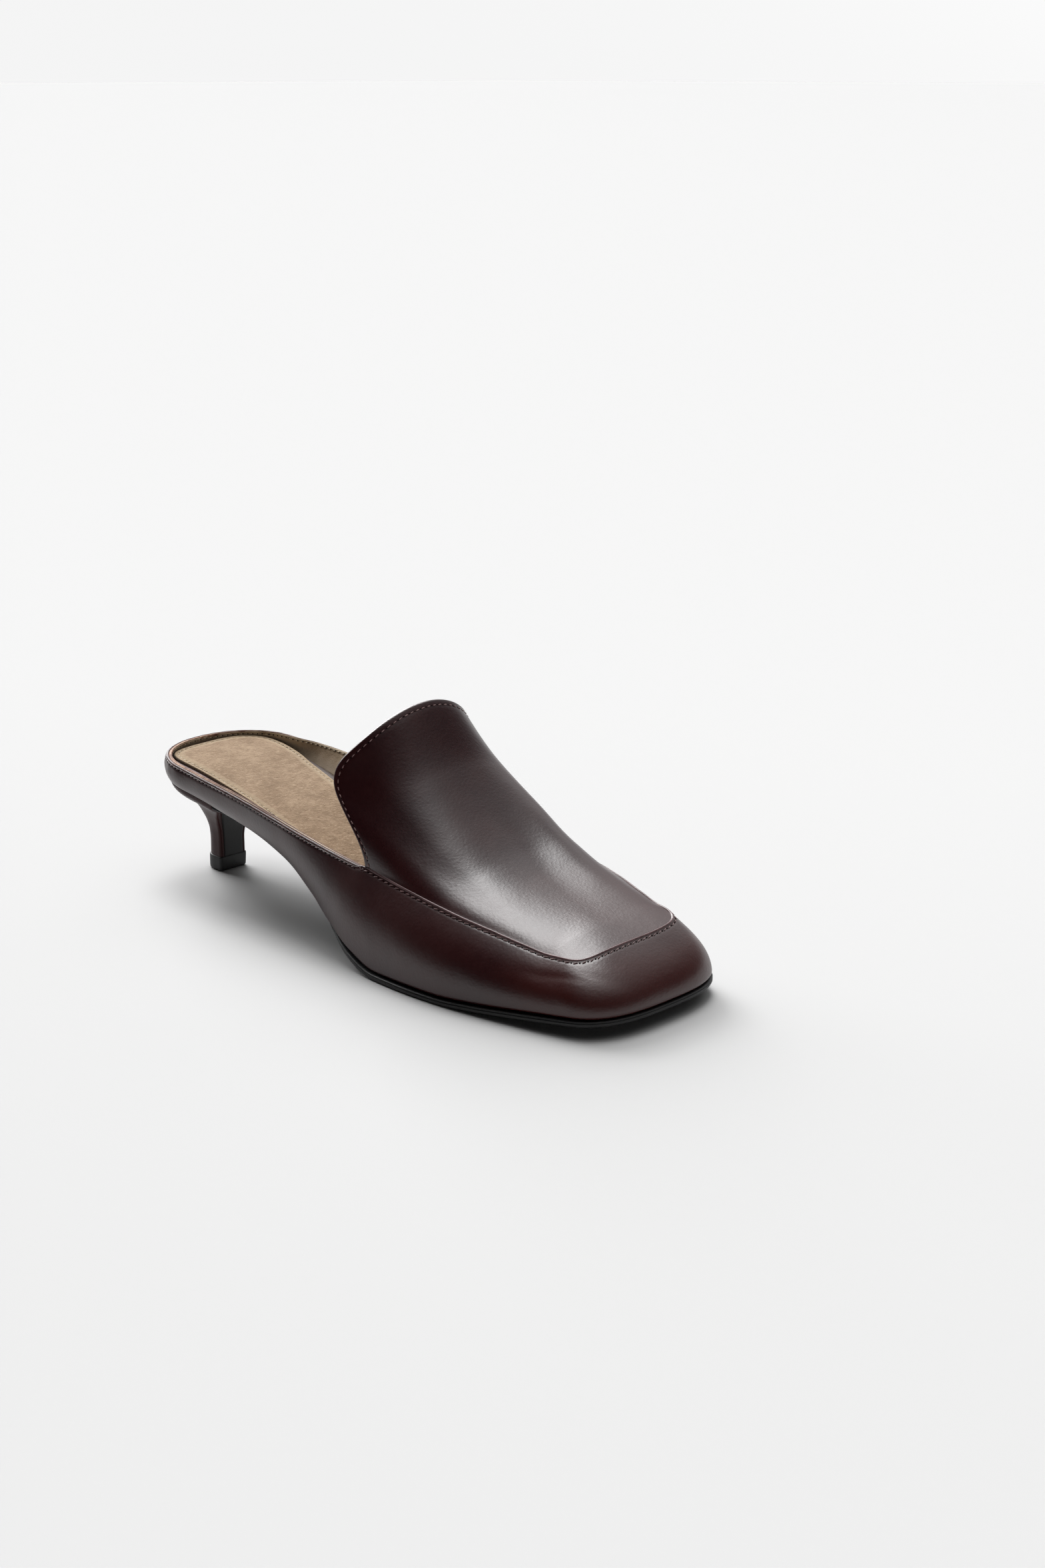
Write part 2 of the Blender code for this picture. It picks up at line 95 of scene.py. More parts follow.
# Apron seam, from the notch at the throat to the squared front.
SEAM = [
    # x, lateral, medial, lateral z, medial z
    (136, -33.3, 33.1, 36.2, 34.3),
    (150, -33.4, 35.8, 34.0, 33.9),
    (165, -32.9, 37.4, 31.5, 33.1),
    (180, -31.5, 37.2, 28.9, 31.7),
    (195, -28.9, 35.1, 26.3, 29.9),
    (208, -26.6, 32.2, 24.1, 27.9),
    (218, -24.7, 30.2, 22.7, 26.3),
    (231, -22.2, 27.4, 22.7, 26.3),
]
NOTCH = 136
APRON_CAP = 218
# Height of the squared front: share of the way from lateral to medial, z.
APRON_TIP_Z = [(0.0, 22.7), (0.15, 22.5), (0.5, 24.4), (0.85, 25.4), (1.0, 26.3)]

# Top edge of the quarters, from the notch back to the heel.
RIM = [
    # x, lateral, medial, lateral z, medial z
    (0.6, -27.6, 28.2, 51.0, 51.0),
    (25, -27.9, 28.4, 48.7, 50.2),
    (38, -28.9, 31.4, 47.4, 48.6),
    (52, -29.5, 33.5, 45.9, 46.7),
    (67, -30.3, 34.9, 44.1, 44.6),
    (83, -31.2, 35.5, 42.0, 42.2),
    (100, -32.1, 35.4, 39.9, 39.6),
    (118, -32.8, 34.6, 37.9, 37.0),
    (136, -33.3, 33.1, 36.2, 34.3),
]
RIM_CAP = 25

# How far the wall swells out, a third and two thirds of the way up.
SWELL = [
    # x, low lateral, high lateral, low medial, high medial
    (0, 2.3, 1.5, 2.3, 1.5),
    (45, 2.4, 1.5, 2.5, 1.6),
    (85, 2.8, 1.9, 3.2, 2.5),
    (120, 3.2, 2.9, 3.8, 3.7),
    (150, 3.8, 4.5, 4.2, 4.4),
    (180, 4.6, 5.6, 4.2, 4.2),
    (210, 4.6, 5.0, 4.2, 2.6),
    (232, 4.8, 4.2, 4.6, 1.9),
    (248, 5.6, 4.4, 5.4, 3.0),
]

TOE_POWER = 3.0             # how squarely each end is cut: 2 is an ellipse
APRON_POWER = 4.5
SEAT_POWER = 2.3
RIM_POWER = 2.2

FRONT_COLUMNS = 96          # along the apron seam on each side
TOE_COLUMNS = 110
REAR_COLUMNS = 96
HEEL_COLUMNS = 72
FOOT_ROWS = (0.0, 0.3, 0.7, 1.2, 1.8, 2.6)                          # up from the foot
TOP_ROWS = (3.4, 2.9, 2.5, 2.1, 1.75, 1.4, 1.05, 0.7, 0.35, 0.0)    # down from the top
BETWEEN_ROWS = 24

# Soft ripples from the apron's squared lateral corner.
RIPPLES = [
    # x, y, turn in degrees, length, width, height
    (229, -27.5, 18, 11, 1.9, -0.34),
    (232, -27.0, 22, 10, 1.6, 0.20),
    (222, -31.0, 8, 13, 2.6, -0.22),
    (237, -19.0, 35, 8, 2.4, -0.14),
    (205, -37.0, 4, 18, 3.4, -0.12),
]
RIPPLE_Z = 17
# Puckers where the leather turns the heel's corners, the same on each side.
PUCKERS = [
    # x, z, width, height
    (13, 46.5, 2.6, -0.32),
    (19, 45.6, 2.2, -0.20),
    (8.5, 46.0, 1.7, 0.16),
]
PUCKER_TALL = 1.8


def at(x, y, z):
    """A point of the tables in the model's own frame, in metres."""
    middle = (cad_low + cad_high) / 2
    return Vector((middle.x + (x - CENTRE[0]) * MM, middle.y + (y - CENTRE[1]) * MM, cad_low.z + z * MM))


def mix(a, b, t):
    return a + (b - a) * t


def ease(t):
    """0 up to t = 0, 1 from t = 1, and smooth between."""
    t = min(max(t, 0.0), 1.0)
    return t * t * (3 - 2 * t)


def hump(x, width):
    """1 at x = 0, and smoothly down to nearly 0 at twice the width."""
    return math.exp(-(x / width) ** 2)


def column(rows, index):
    """A smooth curve through one column of a table, read by its first column."""
    xs = [row[0] for row in rows]
    ys = [row[index] for row in rows]
    steps = [(ys[i + 1] - ys[i]) / (xs[i + 1] - xs[i]) for i in range(len(xs) - 1)]
    slopes = [steps[0]]
    for before, after in zip(steps, steps[1:]):
        same_way = before * after > 0
        slopes.append(2 * before * after / (before + after) if same_way else 0.0)
    slopes.append(steps[-1])

    def read(x):
        x = min(max(x, xs[0]), xs[-1])
        i = 0
        while i < len(xs) - 2 and x > xs[i + 1]:
            i += 1
        width = xs[i + 1] - xs[i]
        t = (x - xs[i]) / width
        return (
            (1 + 2 * t) * (1 - t) ** 2 * ys[i] + t * (1 - t) ** 2 * width * slopes[i]
            + t * t * (3 - 2 * t) * ys[i + 1] + t * t * (t - 1) * width * slopes[i + 1]
        )

    return read


def bezier(p0, p1, p2, p3, t):
    s = 1 - t
    return p0 * s ** 3 + p1 * (3 * s * s * t) + p2 * (3 * s * t * t) + p3 * t ** 3


def cap(start, tip, lateral, medial, power, t):
    """A point of a rounded end, with t from 0 on the lateral side to 1 on the medial."""
    turn = math.pi * (t - 0.5)
    across = math.copysign(abs(math.sin(turn)) ** (2 / power), turn)
    x = mix(start, tip, abs(math.cos(turn)) ** (2 / power))
    return x, mix(lateral(x), medial(x), (1 + across) / 2)


feather_lateral, feather_medial, feather_z = (column(FEATHER, k) for k in (1, 2, 3))
seam = [column(SEAM, k) for k in range(5)]
rim = [column(RIM, k) for k in range(5)]
swell = [column(SWELL, k) for k in range(5)]
apron_tip_z = column(APRON_TIP_Z, 1)


class Station:
    """One upright section of the wall, from the feather line to the seam or rim."""

    def __init__(self, low, high, out, swells, rear):
        self.low, self.high = Vector(low), Vector(high)
        self.rear = rear
        self.pulls = [
            mix(self.low, self.high, share) + Vector(out) * amount
            for share, amount in zip((1 / 3, 2 / 3), swells)
        ]
        points = [self.point(k / 12) for k in range(13)]
        self.length = sum((b - a).length for a, b in zip(points, points[1:]))

    def point(self, t):
        return bezier(self.low, *self.pulls, self.high, t)


def side_station(s, side, rear):
    """A station a share s of the way from the notch, on side -1 (lateral) or 1."""
    low_x = mix(NOTCH, HEEL_CAP if rear else TOE_CAP, s)
    top_x = mix(NOTCH, RIM_CAP if rear else APRON_CAP, s)
    edge = rim if rear else seam
    medial = side > 0
    low_y = feather_medial(low_x) if medial else feather_lateral(low_x)
    return Station(
        (low_x, low_y, feather_z(low_x)),
        (top_x, edge[2 if medial else 1](top_x), edge[4 if medial else 3](top_x)),
        (0.0, side, 0.0 if rear else 0.25 * ease(s / 0.4)),
        [swell[k](low_x) for k in ((3, 4) if medial else (1, 2))],
        ease((NOTCH - top_x) / 5),
    )


def toe_station(t):
    """A station round the toe, with t from 0 on the lateral side to 1 on the medial."""
    low_x, low_y = cap(TOE_CAP, FEATHER[-1][0], feather_lateral, feather_medial, TOE_POWER, t)
    top_x, top_y = cap(APRON_CAP, SEAM[-1][0], seam[1], seam[2], APRON_POWER, t)
    turn = math.pi * (t - 0.5)
    return Station(
        (low_x, low_y, feather_z(low_x)), (top_x, top_y, apron_tip_z(t)),
        (math.cos(turn), math.sin(turn), 0.25),
        [mix(swell[k](low_x), swell[k + 2](low_x), t) for k in (1, 2)],
        0.0,
    )


def heel_station(t):
    """A station round the heel, with t as at the toe."""
    low_x, low_y = cap(HEEL_CAP, FEATHER[0][0], feather_lateral, feather_medial, SEAT_POWER, t)
    top_x, top_y = cap(RIM_CAP, RIM[0][0], rim[1], rim[2], RIM_POWER, t)
    turn = math.pi * (t - 0.5)
    return Station(
        (low_x, low_y, feather_z(low_x)), (top_x, top_y, mix(rim[3](top_x), rim[4](top_x), t)),
        (-math.cos(turn), math.sin(turn), 0.0), [swell[k](low_x) for k in (1, 2)],
        1.0,
    )


front_shares = [k / FRONT_COLUMNS for k in range(FRONT_COLUMNS)]
rear_shares = [k / REAR_COLUMNS for k in range(1, REAR_COLUMNS)]
stations = (
    [side_station(s, -1, False) for s in front_shares]
    + [toe_station(k / TOE_COLUMNS) for k in range(TOE_COLUMNS + 1)]
    + [side_station(s, 1, False) for s in front_shares[::-1]]
    + [side_station(s, 1, True) for s in rear_shares]
    + [heel_station(1 - k / HEEL_COLUMNS) for k in range(HEEL_COLUMNS + 1)]
    + [side_station(s, -1, True) for s in rear_shares[::-1]]
)
stations.append(stations[0])
MEDIAL_NOTCH = 2 * FRONT_COLUMNS + TOE_COLUMNS      # its place in the list of stations


def lay(rows, relief=None, marks=None, dist=0.02):
    """A mesh over rows of points, with relief(i, j) as its height above them.

    Each mark is a number to keep at every point, by name, as mark(i, j). Points
    that fall together are merged, which closes a ring or a pole.
    """
    mesh = bmesh.new()
    ends = len(rows) - 1, len(rows[0]) - 1
    bmesh.ops.create_grid(mesh, x_segments=ends[0], y_segments=ends[1], size=1.0)
    at_row = mesh.verts.layers.int.new("row")
    at_place = mesh.verts.layers.int.new("place")
    for vert in mesh.verts:
        i, j = (round((vert.co[k] + 1) / 2 * ends[k]) for k in (0, 1))
        vert[at_row], vert[at_place] = i, j
        vert.co = rows[i][j]
    bmesh.ops.remove_doubles(mesh, verts=mesh.verts, dist=dist)
    if relief:
        mesh.normal_update()
        for vert in mesh.verts:
            vert.co += vert.normal * relief(vert[at_row], vert[at_place])
    for name, mark in (marks or {}).items():
        layer = mesh.verts.layers.float.new(name)
        for vert in mesh.verts:
            vert[layer] = mark(vert[at_row], vert[at_place])
    mesh.verts.layers.int.remove(mesh.verts.layers.int["row"])
    mesh.verts.layers.int.remove(mesh.verts.layers.int["place"])
    for vert in mesh.verts:
        vert.co = at(*vert.co)
    return mesh


def piece(name, mesh, made, replaced=(), sharp=50):
    """Turns a mesh into a piece of the shoe, with its material and what it stands for."""
    data = bpy.data.meshes.new(name)
    mesh.to_mesh(data)
    mesh.free()
    data.materials.append(made)
    data.shade_smooth()
    data.set_sharp_from_angle(angle=math.radians(sharp))
    item = bpy.data.objects.new(name, data)
    bpy.context.scene.collection.objects.link(item)
    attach(item, "root")
    if replaced:
        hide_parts(*replaced)
    return item


def thicken(item, thick):
    """Gives a sheet its thickness, inwards from the face that shows."""
    wall = item.modifiers.new("thickness", "SOLIDIFY")
    wall.thickness = thick * MM
    wall.offset = -1.0
    wall.use_even_offset = False


class Socket:
    """A number, vector or colour in a material. Sums with it add Math nodes."""

    def __init__(self, shader, socket):
        self.shader = shader
        self.socket = socket

    def math(self, operation, *others):
        values = dict(enumerate((self, *others)))
        return self.shader.add("ShaderNodeMath", {"operation": operation}, values)

    def __add__(self, other):
        return self.math("ADD", other)

    def __mul__(self, other):
        return self.math("MULTIPLY", other)

    def __sub__(self, other):
        return self.math("SUBTRACT", other)

    def __rsub__(self, other):
        return (self * -1.0) + other

    __radd__ = __add__
    __rmul__ = __mul__

    def between(self, low, high):
        """0 at low, 1 at high, and smooth between."""
        return self.shader.add(
            "ShaderNodeMapRange", {"interpolation_type": "SMOOTHSTEP"},
            {"Value": self, "From Min": low, "From Max": high},
        )


class Shader:
    """A material made of nodes."""

    def __init__(self, name, **constants):
        self.material = bpy.data.materials.new(name)
        self.material.use_nodes = True
        self.tree = self.material.node_tree
        self.surface = self.tree.nodes["Principled BSDF"]
        self.set(**constants)
        self.place = self.add("ShaderNodeTexCoord", {}, {}, "Object")

    def add(self, kind, settings, sockets, output=0):
        """A node of a kind, with its settings made first and then its sockets fed."""
        node = self.tree.nodes.new(kind)
        for key, value in settings.items():
            setattr(node, key, value)
        for key, value in sockets.items():
            self.feed(node.inputs[key], value)
        return Socket(self, node.outputs[output])

    def feed(self, socket, value):
        if isinstance(value, Socket):
            self.tree.links.new(value.socket, socket)
        elif socket.type == "RGBA" and len(value) == 3:
            socket.default_value = (*value, 1.0)
        else:
            socket.default_value = value

    def set(self, **sockets):
        """Feeds the surface's own sockets, named with _ for a space."""
        for key, value in sockets.items():
            self.feed(self.surface.inputs[key.replace("_", " ")], value)

    def noise(self, scale, detail=2.0, rough=0.5, stretch=(1, 1, 1), warp=0.0):
        """Cloudy noise with a scale in clouds to the metre."""
        place = self.place
        if stretch != (1, 1, 1):
            place = self.add("ShaderNodeMapping", {}, {"Vector": place, "Scale": stretch})
        return self.add("ShaderNodeTexNoise", {}, {
            "Vector": place, "Scale": scale, "Detail": detail, "Roughness": rough, "Distortion": warp,
        })

    def axes(self):
        """The place's own x, y and z."""
        return [self.add("ShaderNodeSeparateXYZ", {}, {"Vector": self.place}, k) for k in range(3)]

    def cells(self, scale, feature="F1"):
        """Rounded cells, for pores and pebbled grain."""
        return self.add("ShaderNodeTexVoronoi", {"feature": feature}, {"Vector": self.place, "Scale": scale})

    def mark(self, name):
        """A number kept at the mesh's points."""
        return self.add("ShaderNodeAttribute", {"attribute_name": name}, {}, "Fac")

    def blend(self, share, a, b):
        """Colour a, turning into colour b as share goes from 0 to 1."""
        return self.add("ShaderNodeMix", {"data_type": "RGBA"}, {0: share, 6: a, 7: b}, 2)

    def bump(self, height, distance, strength):
        """A normal from a height, where the height's 1 stands a distance in millimetres proud."""
        sockets = {"Height": height, "Distance": distance * MM, "Strength": strength}
        return self.add("ShaderNodeBump", {}, sockets)


def calf(name, deep, warm, rough=0.25, shine=0.66):
    """Burnished calf: a fine pebbled grain under a soft wax shine, warmer low on the toe."""
    made = Shader(name, Specular_IOR_Level=shine)
    cloud = made.noise(26.0, 3.0, 0.55)
    fleck = made.noise(420.0, 2.0, 0.6)
    along, _, up = made.axes()
    toe = along.between(at(195, 0, 0).x, at(238, 0, 0).x) * (1.0 - up.between(0.012, 0.028))
    burnish = cloud.between(0.36, 0.66) * 0.40 + fleck * 0.25 + toe * 0.95
    edge = 1.0 - made.mark("edge").between(0.0, 2.6)
    colour = made.blend(burnish, deep, warm)
    worn = made.noise(160.0, 3.0, 0.7).between(0.45, 0.8) * edge
    made.set(Base_Color=made.blend(worn * 0.6, colour, (0.050, 0.014, 0.012)))
    pebble = made.cells(1050.0, "SMOOTH_F1")
    wrinkle = made.noise(760.0, 3.0, 0.6, (1.0, 0.55, 1.0), 0.8)
    pore = made.cells(2300.0)
    grain = made.bump(pebble * 0.6 + wrinkle * 0.8 + pore * 0.06, 0.11, 0.42)
    made.set(Roughness=rough + cloud * 0.10 + fleck * 0.06, Normal=grain)
    return made.material


OXBLOOD = (0.0150, 0.0010, 0.0022)
CHESTNUT = (0.0360, 0.0044, 0.0034)
calf_leather = calf("burgundy_calf", OXBLOOD, CHESTNUT)


def wall_reach(station):
    """How far up the leather goes: to the seam, or to a little below the rim."""
    return station.length - RIM_DROP * station.rear


def wall_rows(station):
    """Distances up the leather from its foot, closer together at both ends."""
    reach = wall_reach(station)
    start, end = FOOT_ROWS[-1], reach - TOP_ROWS[0]
    between = [mix(start, end, k / BETWEEN_ROWS) for k in range(1, BETWEEN_ROWS)]
    return [*FOOT_ROWS, *between, *(reach - d for d in TOP_ROWS)]


wall_ups = [wall_rows(s) for s in stations]
wall_skin = [[s.point(up / s.length) for up in ups] for s, ups in zip(stations, wall_ups)]


def wall_relief(i, j):
    """Troughs, ridges and pulls of the lasted wall, in millimetres."""
    station = stations[i]
    j = min(j, len(wall_ups[i]) - 1)
    up = wall_ups[i][j]
    down = wall_reach(station) - up
    p = station.point(up / station.length)
    height = 0.0
    rounding = mix(0.6, FOOT_ROUND, ease((p.x - 70) / 70))
    if up < rounding:
        height -= rounding - math.sqrt(rounding ** 2 - (rounding - up) ** 2)
    # The seam's channel.
    height -= 0.12 * hump(down - mix(0.95, 0.45, station.rear), 0.45)
    for x, y, turn, long, wide, tall in RIPPLES:
        angle = math.radians(turn)
        ahead = (p.x - x) * math.cos(angle) + (p.y - y) * math.sin(angle)
        beside = (p.y - y) * math.cos(angle) - (p.x - x) * math.sin(angle) + (p.z - RIPPLE_Z) * 0.5
        height += tall * hump(ahead, long) * hump(beside, wide)
    for x, z, wide, tall in PUCKERS:
        height += tall * hump(p.x - x, wide) * hump(p.z - z, PUCKER_TALL)
    # The leather is never quite even.
    height += 0.12 * noise.noise(p * 0.045) + 0.045 * noise.noise(p * 0.16)
    return height


def top_direction(i):
    """Which way the wall's top edge runs at a station."""
    before, after = stations[i - 1 if i else -2], stations[(i + 1) % (len(stations) - 1)]
    return (after.high - before.high).normalized()


def inward(i):
    """Into the shoe and up the wall, square to the rim, at the top of a station."""
    along = top_direction(i)
    station = stations[i]
    up = (station.high - station.point(0.9)).normalized()
    into = up.cross(along).normalized()
    return into, into.cross(along).normalized() * -1.0


def cut_edge(i, row):
    """Ends a row of the leather with its own cut edge, rounded inwards."""
    into, up = inward(i)
    return row + [row[-1] + into * a + up * b for a, b in ((0.12, 0.10), (0.35, 0.14), (0.7, 0.05))]


wall_leather = piece(
    "wall_leather",
    lay(
        [cut_edge(i, row) for i, row in enumerate(wall_skin)], wall_relief,
        {"edge": lambda i, j: wall_reach(stations[i]) - wall_ups[i][min(j, len(wall_ups[i]) - 1)]},
    ),
    calf_leather, ["upper"],
)
thicken(wall_leather, CALF)

# ---- Apron and tongue ----------------------------------------------------------
# One piece of the same calf covers the instep. It is sewn to the wall along a
# raised seam, squared off at the toe, and rises at the back into a tongue whose
# free edge is folded under.

# Cross-sections at the seam's own stations. The crest is a point with a level
# tangent reaching "flat" to each side, and each side leaves the seam at an angle.
# The section leans back by "lean" half-way up and comes forward by "nod".
APRON = [
    # x, crest z, crest y, flat, lat angle, med angle, lat pull, med pull, lean, nod
    (136, 87.3, 6.3, 27.0, 92.5, 115.6, 34.0, 25.6, 23.5, 14.5),
    (150, 65.6, 7.4, 20.0, 79.0, 100.0, 26.0, 27.0, 10.0, 3.2),
    (165, 50.2, 7.2, 17.0, 62.0, 80.0, 19.6, 24.5, 6.0, 1.8),
    (180, 39.4, 6.0, 14.5, 44.0, 59.0, 14.6, 20.0, 4.0, 1.0),
    (195, 33.2, 4.4, 13.5, 37.0, 43.0, 10.2, 14.0, 2.2, 0.0),
    (208, 29.7, 3.0, 13.2, 32.0, 34.0, 7.0, 8.0, 0.9, 0.0),
    (218, 27.6, 1.8, 13.0, 28.0, 28.0, 5.0, 5.0, 0.0, 0.0),
]
APRON_ROWS = 110
APRON_END_ROWS = 14
APRON_COLUMNS = 120
FOLD = 1.0                  # radius of the tongue's folded edge
FOLD_STEPS = 6
HEM = 2.35                  # from the tongue's edge to its line of stitches
TROUGH = 1.0                # the apron dips most this far inside the seam

apron = [column(APRON, k) for k in range(10)]
across_shares = [
    mix(k / APRON_COLUMNS, 0.5 - 0.5 * math.cos(math.pi * k / APRON_COLUMNS), 0.45)
    for k in range(APRON_COLUMNS + 1)
]


def apron_row(x):
    """One section of the apron or tongue, from the lateral seam to the medial."""
    lateral, medial = (Vector((0, seam[k](x), seam[k + 2](x))) for k in (1, 2))
    crest_z, crest_y, flat, turn_l, turn_m, pull_l, pull_m, lean, nod = (f(x) for f in apron[1:])
    crest = Vector((0, crest_y, crest_z))
    turn_l, turn_m = math.radians(turn_l), math.radians(turn_m)
    start = lateral + Vector((0, math.cos(turn_l), math.sin(turn_l))) * pull_l
    end = medial + Vector((0, -math.cos(turn_m), math.sin(turn_m))) * pull_m
    level = Vector((0, flat, 0))
    row = []
    for share in across_shares:
        if share <= 0.5:
            p = bezier(lateral, start, crest - level, crest, 2 * share)
        else:
            p = bezier(crest, crest + level, end, medial, 2 * share - 1)
        low = lateral.z if share <= 0.5 else medial.z
        height = (p.z - low) / (crest_z - low)
        p.x = x - lean * ease(height / 0.7) + nod * ease((height - 0.45) / 0.55)
        row.append(p)
    return row


apron_skin = [
    apron_row(mix(NOTCH, APRON_CAP, (k / APRON_ROWS) ** 1.3)) for k in range(APRON_ROWS + 1)
]
last_row = apron_skin[-1]
tip_row = [
    Vector((*cap(APRON_CAP, SEAM[-1][0], seam[1], seam[2], APRON_POWER, t), apron_tip_z(t)))
    for t in across_shares
]
for k in range(1, APRON_END_ROWS + 1):
    s = k / APRON_END_ROWS
    row = []
    for share, last, tip in zip(across_shares, last_row, tip_row):
        level = mix(last_row[0].z, last_row[-1].z, share)
        p = last.lerp(tip, s)
        p.z = mix(level, tip.z, s) + (last.z - level) * (1 - s ** 1.12)
        row.append(p)
    apron_skin.append(row)


def walk(points):
    """Distances along a line of points from its first."""
    far = [0.0]
    for a, b in zip(points, points[1:]):
        far.append(far[-1] + (b - a).length)
    return far


from_lateral = [walk(row) for row in apron_skin]
from_edge = [walk([row[j] for row in apron_skin]) for j in range(APRON_COLUMNS + 1)]


def seam_gap(i, j):
    """How far a point of the apron is from the seam on any side."""
    lateral = from_lateral[i][j]
    medial = from_lateral[i][-1] - lateral
    ahead = from_edge[j][-1] - from_edge[j][i]
    return 1 / math.sqrt(sum(max(gap, 0.01) ** -2 for gap in (lateral, medial, ahead)))


def apron_relief(i, j):
    """The dip inside the seam, the hem along the tongue's edge, and soft unevenness."""
    gap = seam_gap(i, j)
    p = apron_skin[i][j]
    edge = from_edge[j][i]
    dip = 0.16 * ease((seam[0](p.x) - NOTCH) / 12) * (1 - 0.8 * ease((p.x - 200) / 16))
    dip *= (gap / TROUGH) * math.exp(1 - gap / TROUGH)
    height = -dip
    height += 0.10 * hump(edge - 1.1, 0.7) - 0.16 * hump(edge - HEM, 0.45)
    height += 0.10 * noise.noise(p * 0.04) + 0.035 * noise.noise(p * 0.15)
    return height


def place_of(far, distance):
    """Which step of a walked line a distance falls in, and its share of that step."""
    k = 0
    while k < len(far) - 2 and far[k + 1] < distance:
        k += 1
    return k, (distance - far[k]) / (far[k + 1] - far[k])


def read_line(points, far, distance):
    """The point at a distance along a walked line of points."""
    k, share = place_of(far, distance)
    return points[k].lerp(points[k + 1], share)


def grid_normal(rows, i, j):
    """The outward normal of a grid of points at one of them."""
    i0, i1 = max(i - 1, 0), min(i + 1, len(rows) - 1)
    j0, j1 = max(j - 1, 0), min(j + 1, len(rows[0]) - 1)
    return (rows[i1][j] - rows[i0][j]).cross(rows[i][j1] - rows[i][j0]).normalized()


def folded(depth, way):
    """The tongue's rounded free edge, as rows from its outermost line inwards.

    It starts a depth below the leather's face, and way is -1 from the face and 1
    from the lining.
    """
    rows = [[] for _ in range(FOLD_STEPS)]
    for j in range(APRON_COLUMNS + 1):
        line = [row[j] for row in apron_skin]
        inner = read_line(line, from_edge[j], FOLD)
        out = (apron_skin[0][j] - inner).normalized()
        normal = grid_normal(apron_skin, 1, j)
        for k in range(FOLD_STEPS):
            turn = math.pi / 2 * (1 - k / FOLD_STEPS)
            rows[k].append(
                inner - normal * depth + out * FOLD * math.sin(turn)
                + normal * way * FOLD * (1 - math.cos(turn))
            )
    return rows


# The first row of the apron that lies past the fold all the way across.
first_flat = next(
    i for i in range(len(apron_skin)) if min(from_edge[j][i] for j in range(0, APRON_COLUMNS, 4)) > FOLD
)
fold_rows = folded(0.0, -1)
apron_leather = piece(
    "apron_leather",
    lay(
        fold_rows + apron_skin[first_flat:],
        lambda i, j: apron_relief(max(i - FOLD_STEPS, 0) + first_flat, j) if i >= FOLD_STEPS else 0.1,
        {"edge": lambda i, j: seam_gap(max(i - FOLD_STEPS, 0) + first_flat, j)},
    ),
    calf_leather,
)
thicken(apron_leather, CALF)

# ---- Lining --------------------------------------------------------------------
# Taupe goat lines the quarters and the whole forepart. Its top edge is sewn level
# with the rim, and a flat butted seam joins its two halves at the back.

GOAT = 0.8
FOOTBED = 7.2               # from the feather line up to the covered footbed
LINING_ROWS = 16


def goat():
    """Smooth taupe goatskin, darker where it meets the footbed: a painted shade that deepens away from its
    top edge.
    """
    made = Shader("taupe_goat", Specular_IOR_Level=0.3, Sheen_Weight=0.15, Sheen_Roughness=0.6)
    cloud = made.noise(60.0, 4.0, 0.6)
    grain = made.noise(900.0, 3.0, 0.65)
    base = made.blend(cloud.between(0.3, 0.7), (0.350, 0.255, 0.165), (0.455, 0.345, 0.235))
    edge = made.mark("edge")
    light = made.blend((1.0 - edge.between(0.2, 2.2)) * 0.6, base, (0.480, 0.400, 0.290))
    # Painted shade: the lining turns darker further from its top edge, down in the shade inside the shoe.
    painted_shade_low = made.blend(edge.between(3.5, 9.0) * 0.7, light, (0.190, 0.140, 0.092))
    made.set(
        Base_Color=painted_shade_low, Roughness=0.62 + grain * 0.2,
        Normal=made.bump(made.cells(1500.0) * 0.6 + grain, 0.12, 0.5),
    )
    return made.material


goat_leather = goat()


def inner_wall(i, down, into_wall):
    """A point on the wall's inside, below its top edge and inside its outer face."""
    station = stations[i]
    share = 1 - down / station.length
    up = (station.point(min(1.0, share + 0.02)) - station.point(share - 0.02)).normalized()
    return station.point(share) + up.cross(top_direction(i)).normalized() * into_wall


def lining_rows(i):
    """The lining's inner face, from the rim down to the footbed's edge."""
    station = stations[i]
    rise = station.high.z - station.low.z
    bottom = station.length * (1 - min(0.9, (FOOTBED - 3.2) / rise))
    row = [inner_wall(i, mix(0.12, bottom, k / LINING_ROWS), WALL) for k in range(LINING_ROWS + 1)]
    return row[::-1]


def lining_relief(i, j):
    """The lining's sewing channel, its back seam and its looseness, raised inwards."""
    row = lining_skin[i]
    down = (row[-1] - row[j]).length
    p = row[j]
    height = -0.13 * hump(down - 1.1, 0.40) + 0.08 * hump(down - 0.4, 0.35)
    # Fine gathers where the medial lining is pulled in above the footbed.
    if p.y > 0:
        height += 0.16 * math.sin(p.x * 4.4) * hump(p.x - 58, 22) * ease((down - 2.4) / 2)
    if p.x < 20:
        height += 0.34 * (hump(p.y - 1.6, 0.55) + hump(p.y + 1.2, 0.55)) - 0.25 * hump(p.y - 0.2, 0.5)
    return height + 0.22 * noise.noise(p * 0.12) + 0.06 * noise.noise(p * 0.45)


lining_skin = [lining_rows(i) for i in range(len(stations))]
lining_skin.reverse()
wall_lining = piece(
    "wall_lining",
    lay(
        lining_skin, lining_relief,
        {"edge": lambda i, j: (lining_skin[i][-1] - lining_skin[i][j]).length},
    ),
    goat_leather,
)
thicken(wall_lining, GOAT)

under_rows = folded(WALL, 1)[::2]
under_skin = [
    [row[j] - grid_normal(apron_skin, i + first_flat, j) * WALL for j, _ in enumerate(row)]
    for i, row in enumerate(apron_skin[first_flat:])
][::2]
apron_lining_skin = [row[::-2] for row in under_rows + under_skin]
apron_lining = piece(
    "apron_lining",
    lay(
        apron_lining_skin, lambda i, j: 0.12 * noise.noise(apron_lining_skin[i][j] * 0.12),
        {"edge": lambda i, j: 0.8 * max(0, i - 2)},
    ),
    goat_leather,
)
thicken(apron_lining, GOAT)

# ---- Rim -----------------------------------------------------------------------
# Along the quarters' top the leather is backed by a folded strip, red-brown from
# its edge dye, and the natural edge of the lining shows beside it in two layers.

